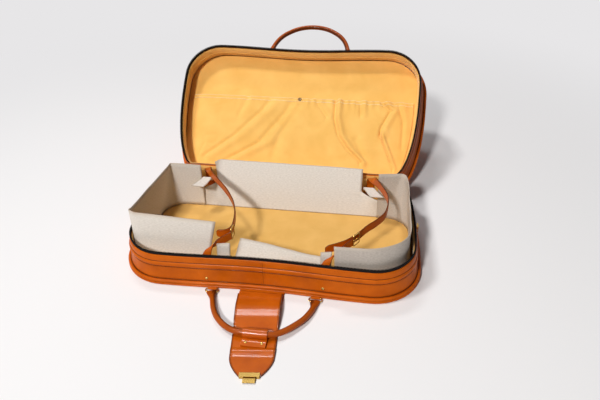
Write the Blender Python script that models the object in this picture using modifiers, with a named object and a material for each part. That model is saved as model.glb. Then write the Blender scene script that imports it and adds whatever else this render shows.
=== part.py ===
"""Leather suitcase, lying open on its base with the lid leaning back on the floor.

Metres, +Z up. The origin is the middle of the base's underside, +X the viewer's right and
-Y the front. Lid pieces are drawn in their closed place and opened by their parent empty.
"""
import math
from collections import namedtuple

import bmesh
import bpy
from mathutils import Euler, Matrix, Vector

for old_object in list(bpy.data.objects):
    bpy.data.objects.remove(old_object, do_unlink=True)

# Driving sizes of the case
case_width = 0.600
case_length = 0.330
front_corner_radius = 0.085
back_corner_width = 0.055
back_corner_share = 0.652
front_sag = 0.007
base_depth = 0.0755
lid_depth = 0.0824
base_flare = 0.0148
lid_flare = 0.0200
clearance = 0.0003

# Wall pieces, from the outer panel to the zip
panel_thickness = 0.0055
panel_edge_radius = 0.0026
piping_radius = 0.0033
wall_leather = 0.0021
welt_height = 0.0124
welt_bulge = 0.0055
band_height = 0.0112
band_foot_reach = 0.0028
band_top_reach = 0.0010
skin_back_reach = 0.0027
lining_thickness = 0.0020
floor_lining_thickness = 0.0018
zip_height = 0.0095
zip_thickness = 0.0012
zip_inset = 0.0022
teeth_height = 0.0032
teeth_reach = 0.0004
teeth_width = 0.0034
hinge_tip_height = 0.0022
hinge_tip_width = 0.0012
hinge_end_gap = 0.0012

# Handles and the rings that carry them
handle_centre_x = 0.004
ring_spread = 0.1055
ring_gap = 0.0045
ring_length = 0.0088
ring_width = 0.0256
ring_wire_radius = 0.00125
ring_corner_radius = 0.0022
ring_axis_height = 0.0036
chape_length = 0.026
chape_width = 0.018
chape_wrap_radius = 0.0026
handle_reach = 0.112
handle_radius = 0.0058
handle_loop_width = 0.020
handle_loop_radius = 0.0032
handle_left_shares = ((0.915, 0.270), (0.860, 0.420), (0.795, 0.560), (0.695, 0.712),
                      (0.545, 0.858), (0.385, 0.955), (0.240, 0.996), (0.090, 1.0))
handle_right_shares = ((0.985, 0.270), (0.938, 0.410), (0.855, 0.572), (0.725, 0.730),
                       (0.585, 0.868), (0.440, 0.962), (0.290, 0.998), (0.110, 1.0))
lid_handle_droop = math.radians(23)

# Leather grip sleeve that is snapped round the base handle
sleeve_wall = 0.0020
sleeve_bore_clearance = 0.0016
sleeve_length = 0.046
sleeve_shift = 0.0090
sleeve_flange_length = 0.028
sleeve_flange_thickness = 0.0040

# Closure flap and its clasp
flap_width = 0.091
flap_end_width = 0.084
flap_thickness = 0.0030
flap_root_length = 0.030
flap_root_gap = 0.0039
flap_neck_start = 0.0015
flap_neck_step = 0.0030
flap_neck_length = 0.0240
flap_lap_start = 0.0098
flap_sway_distance = 0.0170
flap_bend_distance = 0.1587
flap_length = 0.2013
flap_hump_height = 0.0100
flap_hump_distance = 0.048
flap_hump_end = 0.088
flap_end_lift = 0.0015
flap_lift_share = 0.62
flap_tip_power = 1.8
flap_skew = math.radians(6.5)
clasp_width = 0.036
clasp_lip_length = 0.0075
clasp_metal = 0.0012
hook_width = 0.022
hook_length = 0.0085
hook_barrel_radius = 0.0018
hook_thickness = 0.0016
lock_width = 0.046
lock_length = 0.024
lock_thickness = 0.0025
lock_inset = 0.0540
button_width = 0.014
button_length = 0.008
button_thickness = 0.0013

# Board liner that stands loose in the base
board_thickness = 0.0012
board_height = 0.112
board_side_inset = 0.0115
board_front_inset = 0.019
board_back_inset = 0.075
board_corner_radius = 0.052
board_lean = 0.043
board_mid_lean = 0.058
board_layer_gap = 0.0020

# Compression straps
strap_width = 0.019
strap_thickness = 0.0022
strap_foot_gap = 0.0005
strap_hem_gap = 0.0012
buckle_length = 0.018
buckle_height = 0.0256
buckle_gap = 0.0022
buckle_wire_radius = 0.0012
prong_radius = 0.0008
stud_radius = 0.0034
stud_height = 0.0014
stud_level = 0.0190
left_anchor_x = -0.116
right_anchor_x = 0.122

# Lid pocket
pocket_length = 0.190
pocket_thickness = 0.0012
pocket_bulge = 0.0100
pocket_side_gap = 0.006
pocket_fold_height = 0.0042
snap_radius = 0.0040
snap_height = 0.0020

# Zip sliders
slider_length = 0.012
slider_height = 0.011
slider_thickness = 0.0018
slider_place = -0.018
pull_length = 0.018
pull_width = 0.006
pull_thickness = 0.0012

# Fineness of round shapes
weld_distance = 0.00001
seam_weld_distance = 0.00008
corner_steps = 8
front_steps = 10
arc_steps = 8

half_width = case_width / 2
half_length = case_length / 2
back_corner_length = case_length * back_corner_share
closed_height = base_depth + lid_depth
hinge_point = Vector((0, half_length, base_depth))

Half = namedtuple("Half", "name depth flare is_lid")
BASE = Half("base", base_depth, base_flare, False)
LID = Half("lid", lid_depth, lid_flare, True)

suitcase = bpy.data.collections.new("leather_suitcase")
cutters = bpy.data.collections.new("cutters")
bpy.context.scene.collection.children.link(suitcase)
bpy.context.scene.collection.children.link(cutters)


# Materials
def material(name, colour, roughness, metallic=0.0):
    """One Principled material."""
    made = bpy.data.materials.new(name)
    made.use_nodes = True
    shader = made.node_tree.nodes["Principled BSDF"]
    shader.inputs["Base Color"].default_value = (*colour, 1)
    shader.inputs["Roughness"].default_value = roughness
    shader.inputs["Metallic"].default_value = metallic
    return made


finishes = {
    "leather": ((0.52, 0.13, 0.03), 0.35, 0.0),
    "edge_leather": ((0.40, 0.09, 0.02), 0.40, 0.0),
    "lining": ((0.80, 0.52, 0.14), 0.85, 0.0),
    "board": ((0.55, 0.53, 0.50), 0.90, 0.0),
    "zip": ((0.02, 0.02, 0.02), 0.60, 0.0),
    "brass": ((0.85, 0.60, 0.25), 0.25, 1.0),
    "bronze": ((0.30, 0.22, 0.14), 0.35, 1.0),
}


def finish(target, kind):
    """Put a piece in the suitcase's collection, with a material of its own."""
    for holder in list(target.users_collection):
        holder.objects.unlink(target)
    suitcase.objects.link(target)
    target.data.materials.clear()
    target.data.materials.append(material(target.name, *finishes[kind]))
    return target


# Makers of shapes
def polyline(name, points, cyclic=True, dimensions="2D"):
    """A curve object through straight runs."""
    data = bpy.data.curves.new(name, "CURVE")
    data.dimensions = dimensions
    add_spline(data, points, cyclic)
    made = bpy.data.objects.new(name, data)
    bpy.context.scene.collection.objects.link(made)
    return made


def add_spline(data, points, cyclic=True):
    """One more straight-run spline in a curve."""
    spline = data.splines.new("POLY")
    spline.points.add(len(points) - 1)
    for target, point in zip(spline.points, points):
        target.co = (*Vector(point).to_3d(), 1)
    spline.use_cyclic_u = cyclic


def as_mesh(curve_object):
    """Turn a curve object into a closed mesh object of the same name and place."""
    bpy.context.view_layer.update()
    graph = bpy.context.evaluated_depsgraph_get()
    data = bpy.data.meshes.new_from_object(curve_object.evaluated_get(graph))
    name = curve_object.name
    place = curve_object.matrix_world.copy()
    bpy.data.objects.remove(curve_object, do_unlink=True)
    return mesh_object(name, data, place)


def weld(data, distance=weld_distance):
    """Merge a mesh's doubled points and turn its faces outward."""
    work = bmesh.new()
    work.from_mesh(data)
    bmesh.ops.remove_doubles(work, verts=work.verts, dist=distance)
    bmesh.ops.dissolve_degenerate(work, edges=work.edges, dist=distance)
    bmesh.ops.recalc_face_normals(work, faces=work.faces)
    if work.calc_volume(signed=True) < 0:
        bmesh.ops.reverse_faces(work, faces=work.faces)
    work.to_mesh(data)
    work.free()
    return data


def mesh_object(name, data, place=None):
    """Give a welded mesh an object."""
    made = bpy.data.objects.new(name, weld(data))
    bpy.context.scene.collection.objects.link(made)
    if place is not None:
        made.matrix_world = place
    return made


def combine(target, tool, operation):
    """Join a tool to a solid, or cut it away, and remove the tool."""
    change = target.modifiers.new("combine", "BOOLEAN")
    change.object = tool
    change.operation = operation
    bpy.context.view_layer.update()
    graph = bpy.context.evaluated_depsgraph_get()
    data = bpy.data.meshes.new_from_object(target.evaluated_get(graph))
    target.modifiers.clear()
    target.data = weld(data)
    bpy.data.objects.remove(tool, do_unlink=True)
    return target


def shade(target, degrees=35):
    """Smooth shading, with the real edges kept sharp."""
    target.data.shade_smooth()
    target.data.set_sharp_from_angle(angle=math.radians(degrees))
    return target


def slab(name, outline, thickness, holes=()):
    """A flat outline in X and Y, as thick as given, centred on Z = 0."""
    flat = polyline(name, outline)
    for hole in holes:
        add_spline(flat.data, hole)
    flat.data.fill_mode = "BOTH"
    flat.data.extrude = thickness / 2
    return as_mesh(flat)


def side_slab(name, outline, width, centre_x=0.0, holes=()):
    """A side view in (Y, Z), as wide along X as given."""
    made = slab(name, outline, width, holes)
    turn = Matrix(((0, 0, 1, centre_x), (1, 0, 0, 0), (0, 1, 0, 0), (0, 0, 0, 1)))
    made.data.transform(turn)
    return made


def wire(name, points, radius, cyclic=True, resolution=1, fill_caps=False):
    """A round wire along straight runs."""
    route = polyline(name, points, cyclic, "3D")
    route.data.bevel_depth = radius
    route.data.bevel_resolution = resolution
    route.data.use_fill_caps = fill_caps
    return as_mesh(route)


def bent_sheet(name, columns, rows, place, thickness):
    """A grid whose points place(u, v) puts in space, made solid by Solidify."""
    work = bmesh.new()
    bmesh.ops.create_grid(work, x_segments=columns, y_segments=rows, size=1)
    for vert in work.verts:
        vert.co = place((vert.co.x + 1) / 2, (vert.co.y + 1) / 2)
    data = bpy.data.meshes.new(name)
    work.to_mesh(data)
    work.free()
    made = bpy.data.objects.new(name, data)
    bpy.context.scene.collection.objects.link(made)
    wall = made.modifiers.new("thickness", "SOLIDIFY")
    wall.thickness = thickness
    wall.offset = 0
    return made


def block(name, low, high):
    """A box between two corners."""
    work = bmesh.new()
    middle = (Vector(low) + Vector(high)) / 2
    sizes = Vector(high) - Vector(low)
    bmesh.ops.create_cube(work, size=1, matrix=Matrix.Translation(middle) @ Matrix.Diagonal((*sizes, 1)))
    data = bpy.data.meshes.new(name)
    work.to_mesh(data)
    work.free()
    return mesh_object(name, data)


def turned(name, foot_radius, head_radius, length, place, segments=12, foot_flat=1.0):
    """A cylinder or cone along its own Z; foot_flat flattens the foot along its own Y."""
    work = bmesh.new()
    bmesh.ops.create_cone(work, cap_ends=True, segments=segments, radius1=foot_radius,
                          radius2=head_radius, depth=length)
    for vert in work.verts:
        if vert.co.z < 0:
            vert.co.y *= foot_flat
    work.transform(place)
    data = bpy.data.meshes.new(name)
    work.to_mesh(data)
    work.free()
    return mesh_object(name, data)


def arc(centre, radius, start, end, steps=arc_steps):
    """Points on an arc in the plane, angles in degrees."""
    points = []
    for step in range(steps + 1):
        angle = math.radians(start + (end - start) * step / steps)
        points.append((centre[0] + radius * math.cos(angle), centre[1] + radius * math.sin(angle)))
    return points


def rounded_rectangle(width, length, radius, steps=2):
    """The corners of a rectangle centred on the origin, rounded."""
    points = []
    for sign_x, sign_y, start in ((1, 1, 0), (-1, 1, 90), (-1, -1, 180), (1, -1, 270)):
        centre = (sign_x * (width / 2 - radius), sign_y * (length / 2 - radius))
        points += arc(centre, radius, start, start + 90, steps)
    return points


def smooth_route(points, steps):
    """A Catmull-Rom curve through points, with steps pieces between each pair."""
    stations = [Vector(point) for point in points]
    ends = [2 * stations[0] - stations[1], *stations, 2 * stations[-1] - stations[-2]]
    route = []
    for before, start, end, after in zip(ends, ends[1:], ends[2:], ends[3:]):
        for step in range(steps):
            t = step / steps
            route.append(0.5 * (2 * start + (end - before) * t
                                + (2 * before - 5 * start + 4 * end - after) * t ** 2
                                + (3 * start - before - 3 * end + after) * t ** 3))
    route.append(stations[-1])
    return route


def along(route, share):
    """The point a share of the way along a list of points."""
    place = share * (len(route) - 1)
    index = min(int(place), len(route) - 2)
    return route[index].lerp(route[index + 1], place - index)


# The rim and the shapes that follow it
def sag(x):
    """How far the front edge is drawn in at x."""
    straight = half_width - front_corner_radius
    if abs(x) > straight:
        return 0
    return front_sag * math.cos(math.pi * x / (2 * straight)) ** 2


def back_corner(side, grow):
    """The long rounded corner at the hinge, a quarter ellipse grown by grow, from its side."""
    points = []
    for step in range(corner_steps + 1):
        angle = math.pi / 2 * step / corner_steps
        across, back = math.cos(angle), math.sin(angle)
        outward = Vector((across / back_corner_width, back / back_corner_length)).normalized() * grow
        x = half_width - back_corner_width * (1 - across) + outward.x
        points.append((side * x, half_length - back_corner_length * (1 - back) + outward.y))
    return points


def rim_half_width(y):
    """Half the rim's width at a place on the long corners."""
    share = max(0, (y - half_length) / back_corner_length + 1)
    return half_width - back_corner_width * (1 - math.sqrt(max(0, 1 - share ** 2)))


def rim_outline(grow):
    """The rim grown by grow, from the hinge's left end round the front to its right end."""
    front_x = half_width - front_corner_radius
    front_y = half_length - front_corner_radius
    points = back_corner(-1, grow)[::-1]
    points += arc((-front_x, -front_y), front_corner_radius + grow, 180, 270, corner_steps)
    for step in range(1, front_steps):
        x = front_x * (2 * step / front_steps - 1)
        points.append((x, -half_length - grow + sag(x)))
    points += arc((front_x, -front_y), front_corner_radius + grow, 270, 360, corner_steps)
    points += back_corner(1, grow)
    return points


def level(half, height):
    """World Z, in the closed case, of a height above a half's outer face."""
    return closed_height - height if half.is_lid else height


def sweep(name, half, profile, loop=True):
    """Carry a profile of (outward, height) round the rim, or round all but its hinge side."""
    path = polyline(name, rim_outline(0) if loop else rim_outline(0)[1:-1], loop)
    inward = -1 if loop else 1
    section = polyline(name + "_section",
                       [(inward * reach, level(half, height)) for reach, height in profile])
    path.data.bevel_mode = "OBJECT"
    path.data.bevel_object = section
    path.data.use_fill_caps = not loop
    made = as_mesh(path)
    bpy.data.objects.remove(section, do_unlink=True)
    return shade(made)


def rim_plate(name, half, grow, low, high, edge_radius=0.0):
    """A flat plate in the shape of the rim between two heights, with rounded edges."""
    plate = polyline(name, rim_outline(grow - edge_radius))
    plate.data.fill_mode = "BOTH"
    plate.data.extrude = (high - low) / 2 - edge_radius
    plate.data.bevel_depth = edge_radius
    plate.data.bevel_resolution = 1
    plate.location.z = level(half, (low + high) / 2)
    made = as_mesh(plate)
    made.data.transform(made.matrix_world)
    made.matrix_world = Matrix.Identity(4)
    return shade(made)


def floor_top():
    """Height of the floor lining's upper face above the outer face."""
    return panel_thickness + clearance + floor_lining_thickness


# Heights and reaches that both halves share
def band_heights(half):
    top = half.depth - zip_height - clearance
    return top - band_height, top


def welt_heights(half):
    top = band_heights(half)[0] - clearance
    return top - welt_height, top


def lining_foot(half):
    """Outer reach of the wall lining at the outer panel."""
    return half.flare - piping_radius * 2 - 2 * clearance - wall_leather - clearance


def outer_panel(half):
    """Big leather face with a rolled edge, and the shallow seats cut into it."""
    name = half.name + "_panel"
    made = rim_plate(name, half, half.flare, 0, panel_thickness, panel_edge_radius)
    for seat in panel_seats(half):
        combine(made, seat, "DIFFERENCE")
    return finish(made, "leather")


def panel_seats(half):
    """Cutters for the strap ends that lie flush in the outer face."""
    axis_y = ring_axis_y(half)
    depth = ring_axis_height + clearance
    seats = []
    for side in (-1, 1):
        x = handle_centre_x + side * ring_spread
        low = Vector((x - chape_width / 2 - clearance, axis_y - ring_length, -panel_thickness))
        high = Vector((x + chape_width / 2 + clearance, axis_y + chape_length + clearance, depth))
        seats.append(seat_block(half, low, high))
    if not half.is_lid:
        low = Vector((-flap_width / 2 - clearance, axis_y - ring_length, -panel_thickness))
        high = Vector((flap_width / 2 + clearance, axis_y + flap_root_length + clearance,
                       flap_thickness + 2 * clearance))
        seats.append(seat_block(half, low, high))
    return seats


def seat_block(half, low, high):
    """A seat cutter, turned over for the lid."""
    if half.is_lid:
        low.z, high.z = closed_height - high.z, closed_height - low.z
    return block("seat", low, high)


def shell(half):
    """Every piece of one half's wall, from the outer panel to the zip."""
    waist = welt_heights(half)[0] - clearance
    foot = panel_thickness + clearance
    wall_foot = half.flare - 2 * piping_radius - clearance
    bead = half.flare - piping_radius - clearance
    band_low, band_top = band_heights(half)
    welt_low, welt_top = welt_heights(half)

    pieces = [outer_panel(half)]
    piping = sweep(half.name + "_piping", half,
                   arc((bead, foot + piping_radius), piping_radius, 0, 315, 7))
    pieces.append(finish(piping, "edge_leather"))

    wall = [(lining_foot(half) + clearance, foot),
            (wall_foot - clearance, foot),
            (wall_foot, foot + 2 * piping_radius),
            (band_foot_reach, waist),
            (-skin_back_reach, waist)]
    pieces.append(finish(sweep(half.name + "_wall", half, wall), "leather"))

    middle = (welt_low + welt_top) / 2
    welt = [(-skin_back_reach, welt_low), (band_top_reach, welt_low)]
    welt += [(band_top_reach + (welt_bulge - band_top_reach) * math.sin(math.radians(angle)),
              middle - welt_height / 2 * math.cos(math.radians(angle))) for angle in (45, 75, 105, 135)]
    welt += [(band_top_reach, welt_top), (-skin_back_reach, welt_top)]
    pieces.append(finish(sweep(half.name + "_welt", half, welt), "leather"))

    band = [(-skin_back_reach, band_low), (band_foot_reach, band_low),
            (band_top_reach, band_top), (-skin_back_reach, band_top)]
    pieces.append(finish(sweep(half.name + "_band", half, band), "leather"))

    inner = skin_back_reach + clearance + lining_thickness
    lining = [(lining_foot(half) - lining_thickness, foot), (lining_foot(half), foot),
              (-skin_back_reach - clearance, waist), (-skin_back_reach - clearance, band_top),
              (-inner, band_top), (-inner, waist)]
    pieces.append(finish(sweep(half.name + "_wall_lining", half, lining), "lining"))

    floor_reach = lining_foot(half) - lining_thickness - 2 * clearance
    floor = rim_plate(half.name + "_floor_lining", half, floor_reach, foot, floor_top())
    pieces.append(finish(floor, "lining"))

    pieces.append(zip_tape(half))
    pieces.append(hinge_strip(half))
    return pieces


def zip_tape(half):
    """Half of the zip: a tape standing on the band, with its row of teeth."""
    top = half.depth - clearance / 2
    teeth_foot = top - teeth_height
    tape_foot = half.depth - zip_height
    tape_outer = -zip_inset + zip_thickness
    profile = [(-zip_inset, tape_foot), (tape_outer, tape_foot), (tape_outer, teeth_foot),
               (teeth_reach, teeth_foot), (teeth_reach, top), (teeth_reach - teeth_width, top),
               (teeth_reach - teeth_width, teeth_foot), (-zip_inset, teeth_foot)]
    return finish(sweep(half.name + "_zip_tape", half, profile, False), "zip")


def hinge_strip(half):
    """Leather strip along the back whose pointed edge lies on the hinge axis."""
    foot = half.depth - zip_height
    shoulder = half.depth - hinge_tip_height
    outline = [(-zip_inset, foot), (-zip_inset + zip_thickness, foot),
               (hinge_tip_width / 2, shoulder), (0, half.depth - clearance / 2),
               (-hinge_tip_width / 2, shoulder)]
    placed = [(half_length + reach, level(half, height)) for reach, height in outline]
    length = 2 * (half_width - back_corner_width - hinge_end_gap)
    return finish(side_slab(half.name + "_hinge_strip", placed, length), "leather")


# Handles
def ring_axis_y(half):
    """Y, in the closed case, of the bar that a half's handle rings turn on."""
    return -(half_length + half.flare) + sag(ring_spread) - ring_gap


def chape(half, side, side_name):
    """Leather strap end that holds one ring: a plate in its seat, curled round the bar."""
    axis_y = ring_axis_y(half)
    centre = (axis_y, ring_axis_height)
    low = ring_axis_height - chape_wrap_radius
    back = axis_y + chape_length
    outline = [(back, ring_axis_height), (back, low)]
    outline += arc(centre, chape_wrap_radius, 270, 0)
    hole = arc(centre, ring_wire_radius + clearance, 0, 315, 7)
    outline = [(y, level(half, height)) for y, height in outline]
    hole = [(y, level(half, height)) for y, height in hole]
    x = handle_centre_x + side * ring_spread
    name = f"{half.name}_handle_chape_{side_name}"
    return finish(side_slab(name, outline, chape_width, x, [hole]), "leather")


def ring(half, side, side_name):
    """Rectangular wire ring between a chape and a handle end."""
    corners = rounded_rectangle(ring_width, ring_length, ring_corner_radius)
    x = handle_centre_x + side * ring_spread
    y = ring_axis_y(half) - ring_length / 2
    z = level(half, ring_axis_height)
    points = [(x + px, y + py, z) for px, py in corners]
    return finish(shade(wire(f"{half.name}_ring_{side_name}", points, ring_wire_radius), 60), "brass")


def handle_middle_height():
    """Height of the grip's centre where its sleeve lies on the flap."""
    return flap_thickness + 2 * clearance + handle_radius + sleeve_bore_clearance + sleeve_wall


def handle_point(share_x, share_y, side):
    """A point on the handle's centre line from its ring axis, by shares of spread and reach."""
    rise = share_y * (handle_middle_height() - ring_axis_height)
    return Vector((handle_centre_x + side * share_x * ring_spread, -share_y * handle_reach, rise))


def handle(half):
    """Rolled leather grip with a flattened loop at each end."""
    name = half.name + "_handle"
    left = [handle_point(*shares, -1) for shares in handle_left_shares]
    right = [handle_point(*shares, 1) for shares in handle_right_shares]
    made = wire(name, smooth_route(left + right[::-1], 3), handle_radius, False, 3, True)
    for side, start in ((-1, left[0]), (1, right[0])):
        bar = Vector((handle_centre_x + side * ring_spread, -ring_length, 0))
        course = start - bar
        turn = course.to_track_quat("Z", "Y").to_matrix().to_4x4()
        taper = turned("taper", handle_loop_width / 2, handle_radius * 0.98, course.length,
                       Matrix.Translation((start + bar) / 2) @ turn, 16,
                       handle_loop_radius / (handle_loop_width / 2))
        combine(made, taper, "UNION")
        across = Matrix.Translation(bar) @ Euler((0, math.pi / 2, 0)).to_matrix().to_4x4()
        combine(made, turned("loop", handle_loop_radius, handle_loop_radius, handle_loop_width, across, 16),
                "UNION")
        bore = turned("bore", ring_wire_radius + clearance, ring_wire_radius + clearance, ring_width,
                      across, 8)
        combine(made, bore, "DIFFERENCE")
    weld(made.data, seam_weld_distance)
    split = bmesh.new()
    split.from_mesh(made.data)
    bmesh.ops.triangulate(split, faces=split.faces)
    if half.is_lid:
        split.transform(Matrix.Diagonal((1, 1, -1, 1)))
        bmesh.ops.reverse_faces(split, faces=split.faces)
    split.to_mesh(made.data)
    split.free()
    made.data.transform(Matrix.Translation((0, ring_axis_y(half), level(half, ring_axis_height))))
    return finish(shade(made, 50), "leather")


def sleeve():
    """Leather sleeve folded round the base handle, with a flange that its snaps close."""
    wall_radius = handle_radius + sleeve_bore_clearance + sleeve_wall
    centre = (ring_axis_y(BASE) - handle_reach, handle_middle_height())
    low = centre[1] - wall_radius
    top = low + sleeve_flange_thickness
    meet = math.degrees(math.asin((centre[1] - top) / wall_radius))
    outline = arc(centre, wall_radius, -90, 180 + meet, 14)
    end = centre[0] - sleeve_flange_length
    outline += [(end, top), (end, low)]
    bore = arc(centre, handle_radius + sleeve_bore_clearance, 0, 330, 11)
    made = side_slab("handle_sleeve", outline, sleeve_length, handle_centre_x + sleeve_shift, [bore])
    return finish(shade(made, 40), "leather")


# Closure flap
def flap_half_width(distance):
    """Half the flap's width at a distance from its fold."""
    share = max(0, min(1, distance / flap_bend_distance))
    return (flap_width + (flap_end_width - flap_width) * share) / 2


def flap_underside(distance):
    """Height of the flap's underside above the floor at a distance from its fold."""
    lap = clearance + flap_thickness / 2 + clearance
    if distance < flap_hump_distance:
        share = max(0, (distance - flap_neck_length) / (flap_hump_distance - flap_neck_length))
        return lap + (flap_hump_height - lap) * math.sin(share * math.pi / 2) ** 2
    if distance < flap_hump_end:
        share = (distance - flap_hump_distance) / (flap_hump_end - flap_hump_distance)
        return clearance + (flap_hump_height - clearance) * math.cos(share * math.pi / 2) ** 2
    start = flap_bend_distance + (flap_length - flap_bend_distance) * flap_lift_share
    share = max(0, min(1, (distance - flap_bend_distance) / (start - flap_bend_distance)))
    return clearance + flap_end_lift * math.sin(share * math.pi / 2) ** 2


def flap_root():
    """The flap's fixed end in its seat under the base."""
    axis_y = ring_axis_y(BASE)
    low = (-flap_width / 2, axis_y + flap_root_gap, clearance)
    high = (flap_width / 2, axis_y + flap_root_length, clearance + flap_thickness)
    return finish(block("flap_root", low, high), "leather")


def flap_neck():
    """Short folding length of the flap, thinned where the strap laps over it."""
    axis_y = ring_axis_y(BASE)
    thin = clearance + flap_thickness / 2
    full = clearance + flap_thickness
    outline = [(axis_y + flap_neck_start, clearance), (axis_y + flap_neck_start, full),
               (axis_y - flap_neck_step, full), (axis_y - flap_neck_step, thin),
               (axis_y - flap_neck_length, thin), (axis_y - flap_neck_length, clearance)]
    return finish(side_slab("flap_neck", outline, flap_width), "leather")


def flap_strap():
    """Long part of the flap, humped between the case and the handle."""
    def place(u, v):
        distance = flap_lap_start + (flap_bend_distance - clearance - flap_lap_start) * v
        middle = flap_underside(distance) + flap_thickness / 2
        return Vector(((2 * u - 1) * flap_half_width(distance), ring_axis_y(BASE) - distance, middle))
    return finish(shade(bent_sheet("flap_strap", 1, 20, place, flap_thickness)), "leather")


def flap_tip():
    """End of the flap that folds over the lid's face, rounded in to the clasp."""
    def place(u, v):
        share = math.sin(v * math.pi / 2)
        distance = flap_bend_distance + clearance + (flap_length - flap_bend_distance - clearance) * share
        side = flap_half_width(flap_bend_distance)
        side = clasp_width / 2 + (side - clasp_width / 2) * (1 - share ** flap_tip_power)
        middle = flap_underside(distance) + flap_thickness / 2
        return Vector(((2 * u - 1) * side, ring_axis_y(BASE) - distance, middle))
    return finish(shade(bent_sheet("flap_tip", 1, 12, place, flap_thickness)), "leather")


def clasp():
    """Metal channel closed over the flap's end."""
    front = ring_axis_y(BASE) - flap_length - clearance
    low = flap_end_lift
    high = clearance + flap_end_lift + flap_thickness + clearance
    outline = [(front + clasp_lip_length, low - clasp_metal), (front + clasp_lip_length, low),
               (front, low), (front, high), (front + clasp_lip_length, high),
               (front + clasp_lip_length, high + clasp_metal), (front - clasp_metal, high + clasp_metal),
               (front - clasp_metal, low - clasp_metal)]
    return finish(side_slab("flap_clasp", outline, clasp_width), "brass")


def hook_axis():
    """Y and Z of the clasp hook's pin, before the flap is skewed."""
    y = ring_axis_y(BASE) - flap_length - 2 * clearance - clasp_metal - hook_barrel_radius
    return y, clearance + flap_end_lift + flap_thickness / 2


def hook():
    """Tongue that swings on the clasp's front edge."""
    y, z = hook_axis()
    meet = math.degrees(math.asin(hook_thickness / 2 / hook_barrel_radius))
    outline = arc((y, z), hook_barrel_radius, 180 + meet, 540 - meet, 10)
    outline += [(y - hook_length, z + hook_thickness / 2), (y - hook_length, z - hook_thickness / 2)]
    return finish(side_slab("clasp_hook", outline, hook_width), "brass")


def lock_centre_y():
    """Y, in the closed case, of the lock that the clasp hooks on."""
    return -(half_length + lid_flare) + front_sag + lock_inset


def lock_plate():
    """Plate riveted on the lid's outer face."""
    made = slab("lock_plate", rounded_rectangle(lock_width, lock_length, lock_length / 4, 3), lock_thickness)
    z = closed_height + clearance + lock_thickness / 2
    made.data.transform(Matrix.Translation((0, lock_centre_y(), z)))
    return finish(made, "brass")


def lock_button():
    """Sliding catch on the lock plate."""
    outline = rounded_rectangle(button_width, button_length, button_length / 3, 3)
    made = slab("lock_button", outline, button_thickness)
    z = closed_height + 2 * clearance + lock_thickness + button_thickness / 2
    made.data.transform(Matrix.Translation((0, lock_centre_y() + button_length / 2, z)))
    return finish(made, "brass")


# Board liner
def board_sheet(name, foot_line, top_line, columns, rows=1):
    """Board between a foot line and a top line, each a list of (x, y, z)."""
    foot = [Vector(point) for point in foot_line]
    top = [Vector(point) for point in top_line]

    def place(u, v):
        return along(foot, u).lerp(along(top, u), v)
    return finish(bent_sheet(name, columns, rows, place, board_thickness), "board")


def board_foot():
    """Height of the liner's lower edge, just off the floor lining."""
    return floor_top() + clearance + board_thickness / 4


def even_line(points, count):
    """Points at an even spacing along straight runs, count runs in all."""
    line = [Vector(point) for point in points]
    ends = [0.0]
    for start, end in zip(line, line[1:]):
        ends.append(ends[-1] + (end - start).length)
    made = []
    for step in range(count + 1):
        target = ends[-1] * step / count
        index = max(i for i in range(len(line) - 1) if ends[i] <= target + weld_distance)
        share = (target - ends[index]) / (ends[index + 1] - ends[index])
        made.append(line[index].lerp(line[index + 1], min(1, share)))
    return made


def matched_line(parts, counts):
    """One line through parts that follow each other, each cut into its own number of runs."""
    line = []
    for part, count in zip(parts, counts):
        line += even_line(part, count)[:-1]
    return line + [Vector(parts[-1][-1])]


def on_level(points, height):
    """Points in the plane, set on a level."""
    return [(x, y, height) for x, y in points]


def board_left():
    """Front-left, left and back-left sides, folded from one strip.

    The foot follows the rounded floor and the top keeps two sharp folds.
    """
    side = half_width - board_side_inset
    front = -half_length + board_front_inset
    back = half_length - board_back_inset
    foot = board_foot()
    top = foot + board_height
    lean = board_lean
    radius = board_corner_radius
    free_x = -side * 0.345
    notch_x = -side * 0.675
    front_corner = arc((-side + radius, front + radius), radius, 270, 180, 6)
    rear_corner = arc((-side + radius, back - radius), radius, 180, 90, 6)
    foot_parts = [on_level(part, foot) for part in (
        [(free_x, front), front_corner[0]], front_corner, [front_corner[-1], rear_corner[0]],
        rear_corner, [rear_corner[-1], (notch_x, back)])]
    lean_top = top - lean * lean / board_height / 2
    fold_top = (lean_top + top) / 2
    front_fold = [(-side + radius * 0.23, front + lean * 0.965, fold_top - board_thickness),
                  (-side, front + lean * 0.98, fold_top),
                  (-side + radius * 0.02, front + lean * 0.98 + radius * 0.23, fold_top)]
    rear_fold = [(-side + radius * 0.36, back - radius * 0.15, top),
                 (-side + radius * 0.38, back + radius * 0.08, top),
                 (-side + radius * 0.54, back + radius * 0.10, top)]
    top_parts = [[(free_x * 1.04, front + lean * 0.86, lean_top), front_fold[0]], front_fold,
                 [front_fold[-1], (-side + radius * 0.15, 0, top), rear_fold[0]], rear_fold,
                 [rear_fold[-1], (notch_x, back + board_thickness * 3, top)]]
    counts = (3, 6, 4, 6, 2)
    foot_line, top_line = matched_line(foot_parts, counts), matched_line(top_parts, counts)
    return board_sheet("liner_left", foot_line, top_line, sum(counts))


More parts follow.
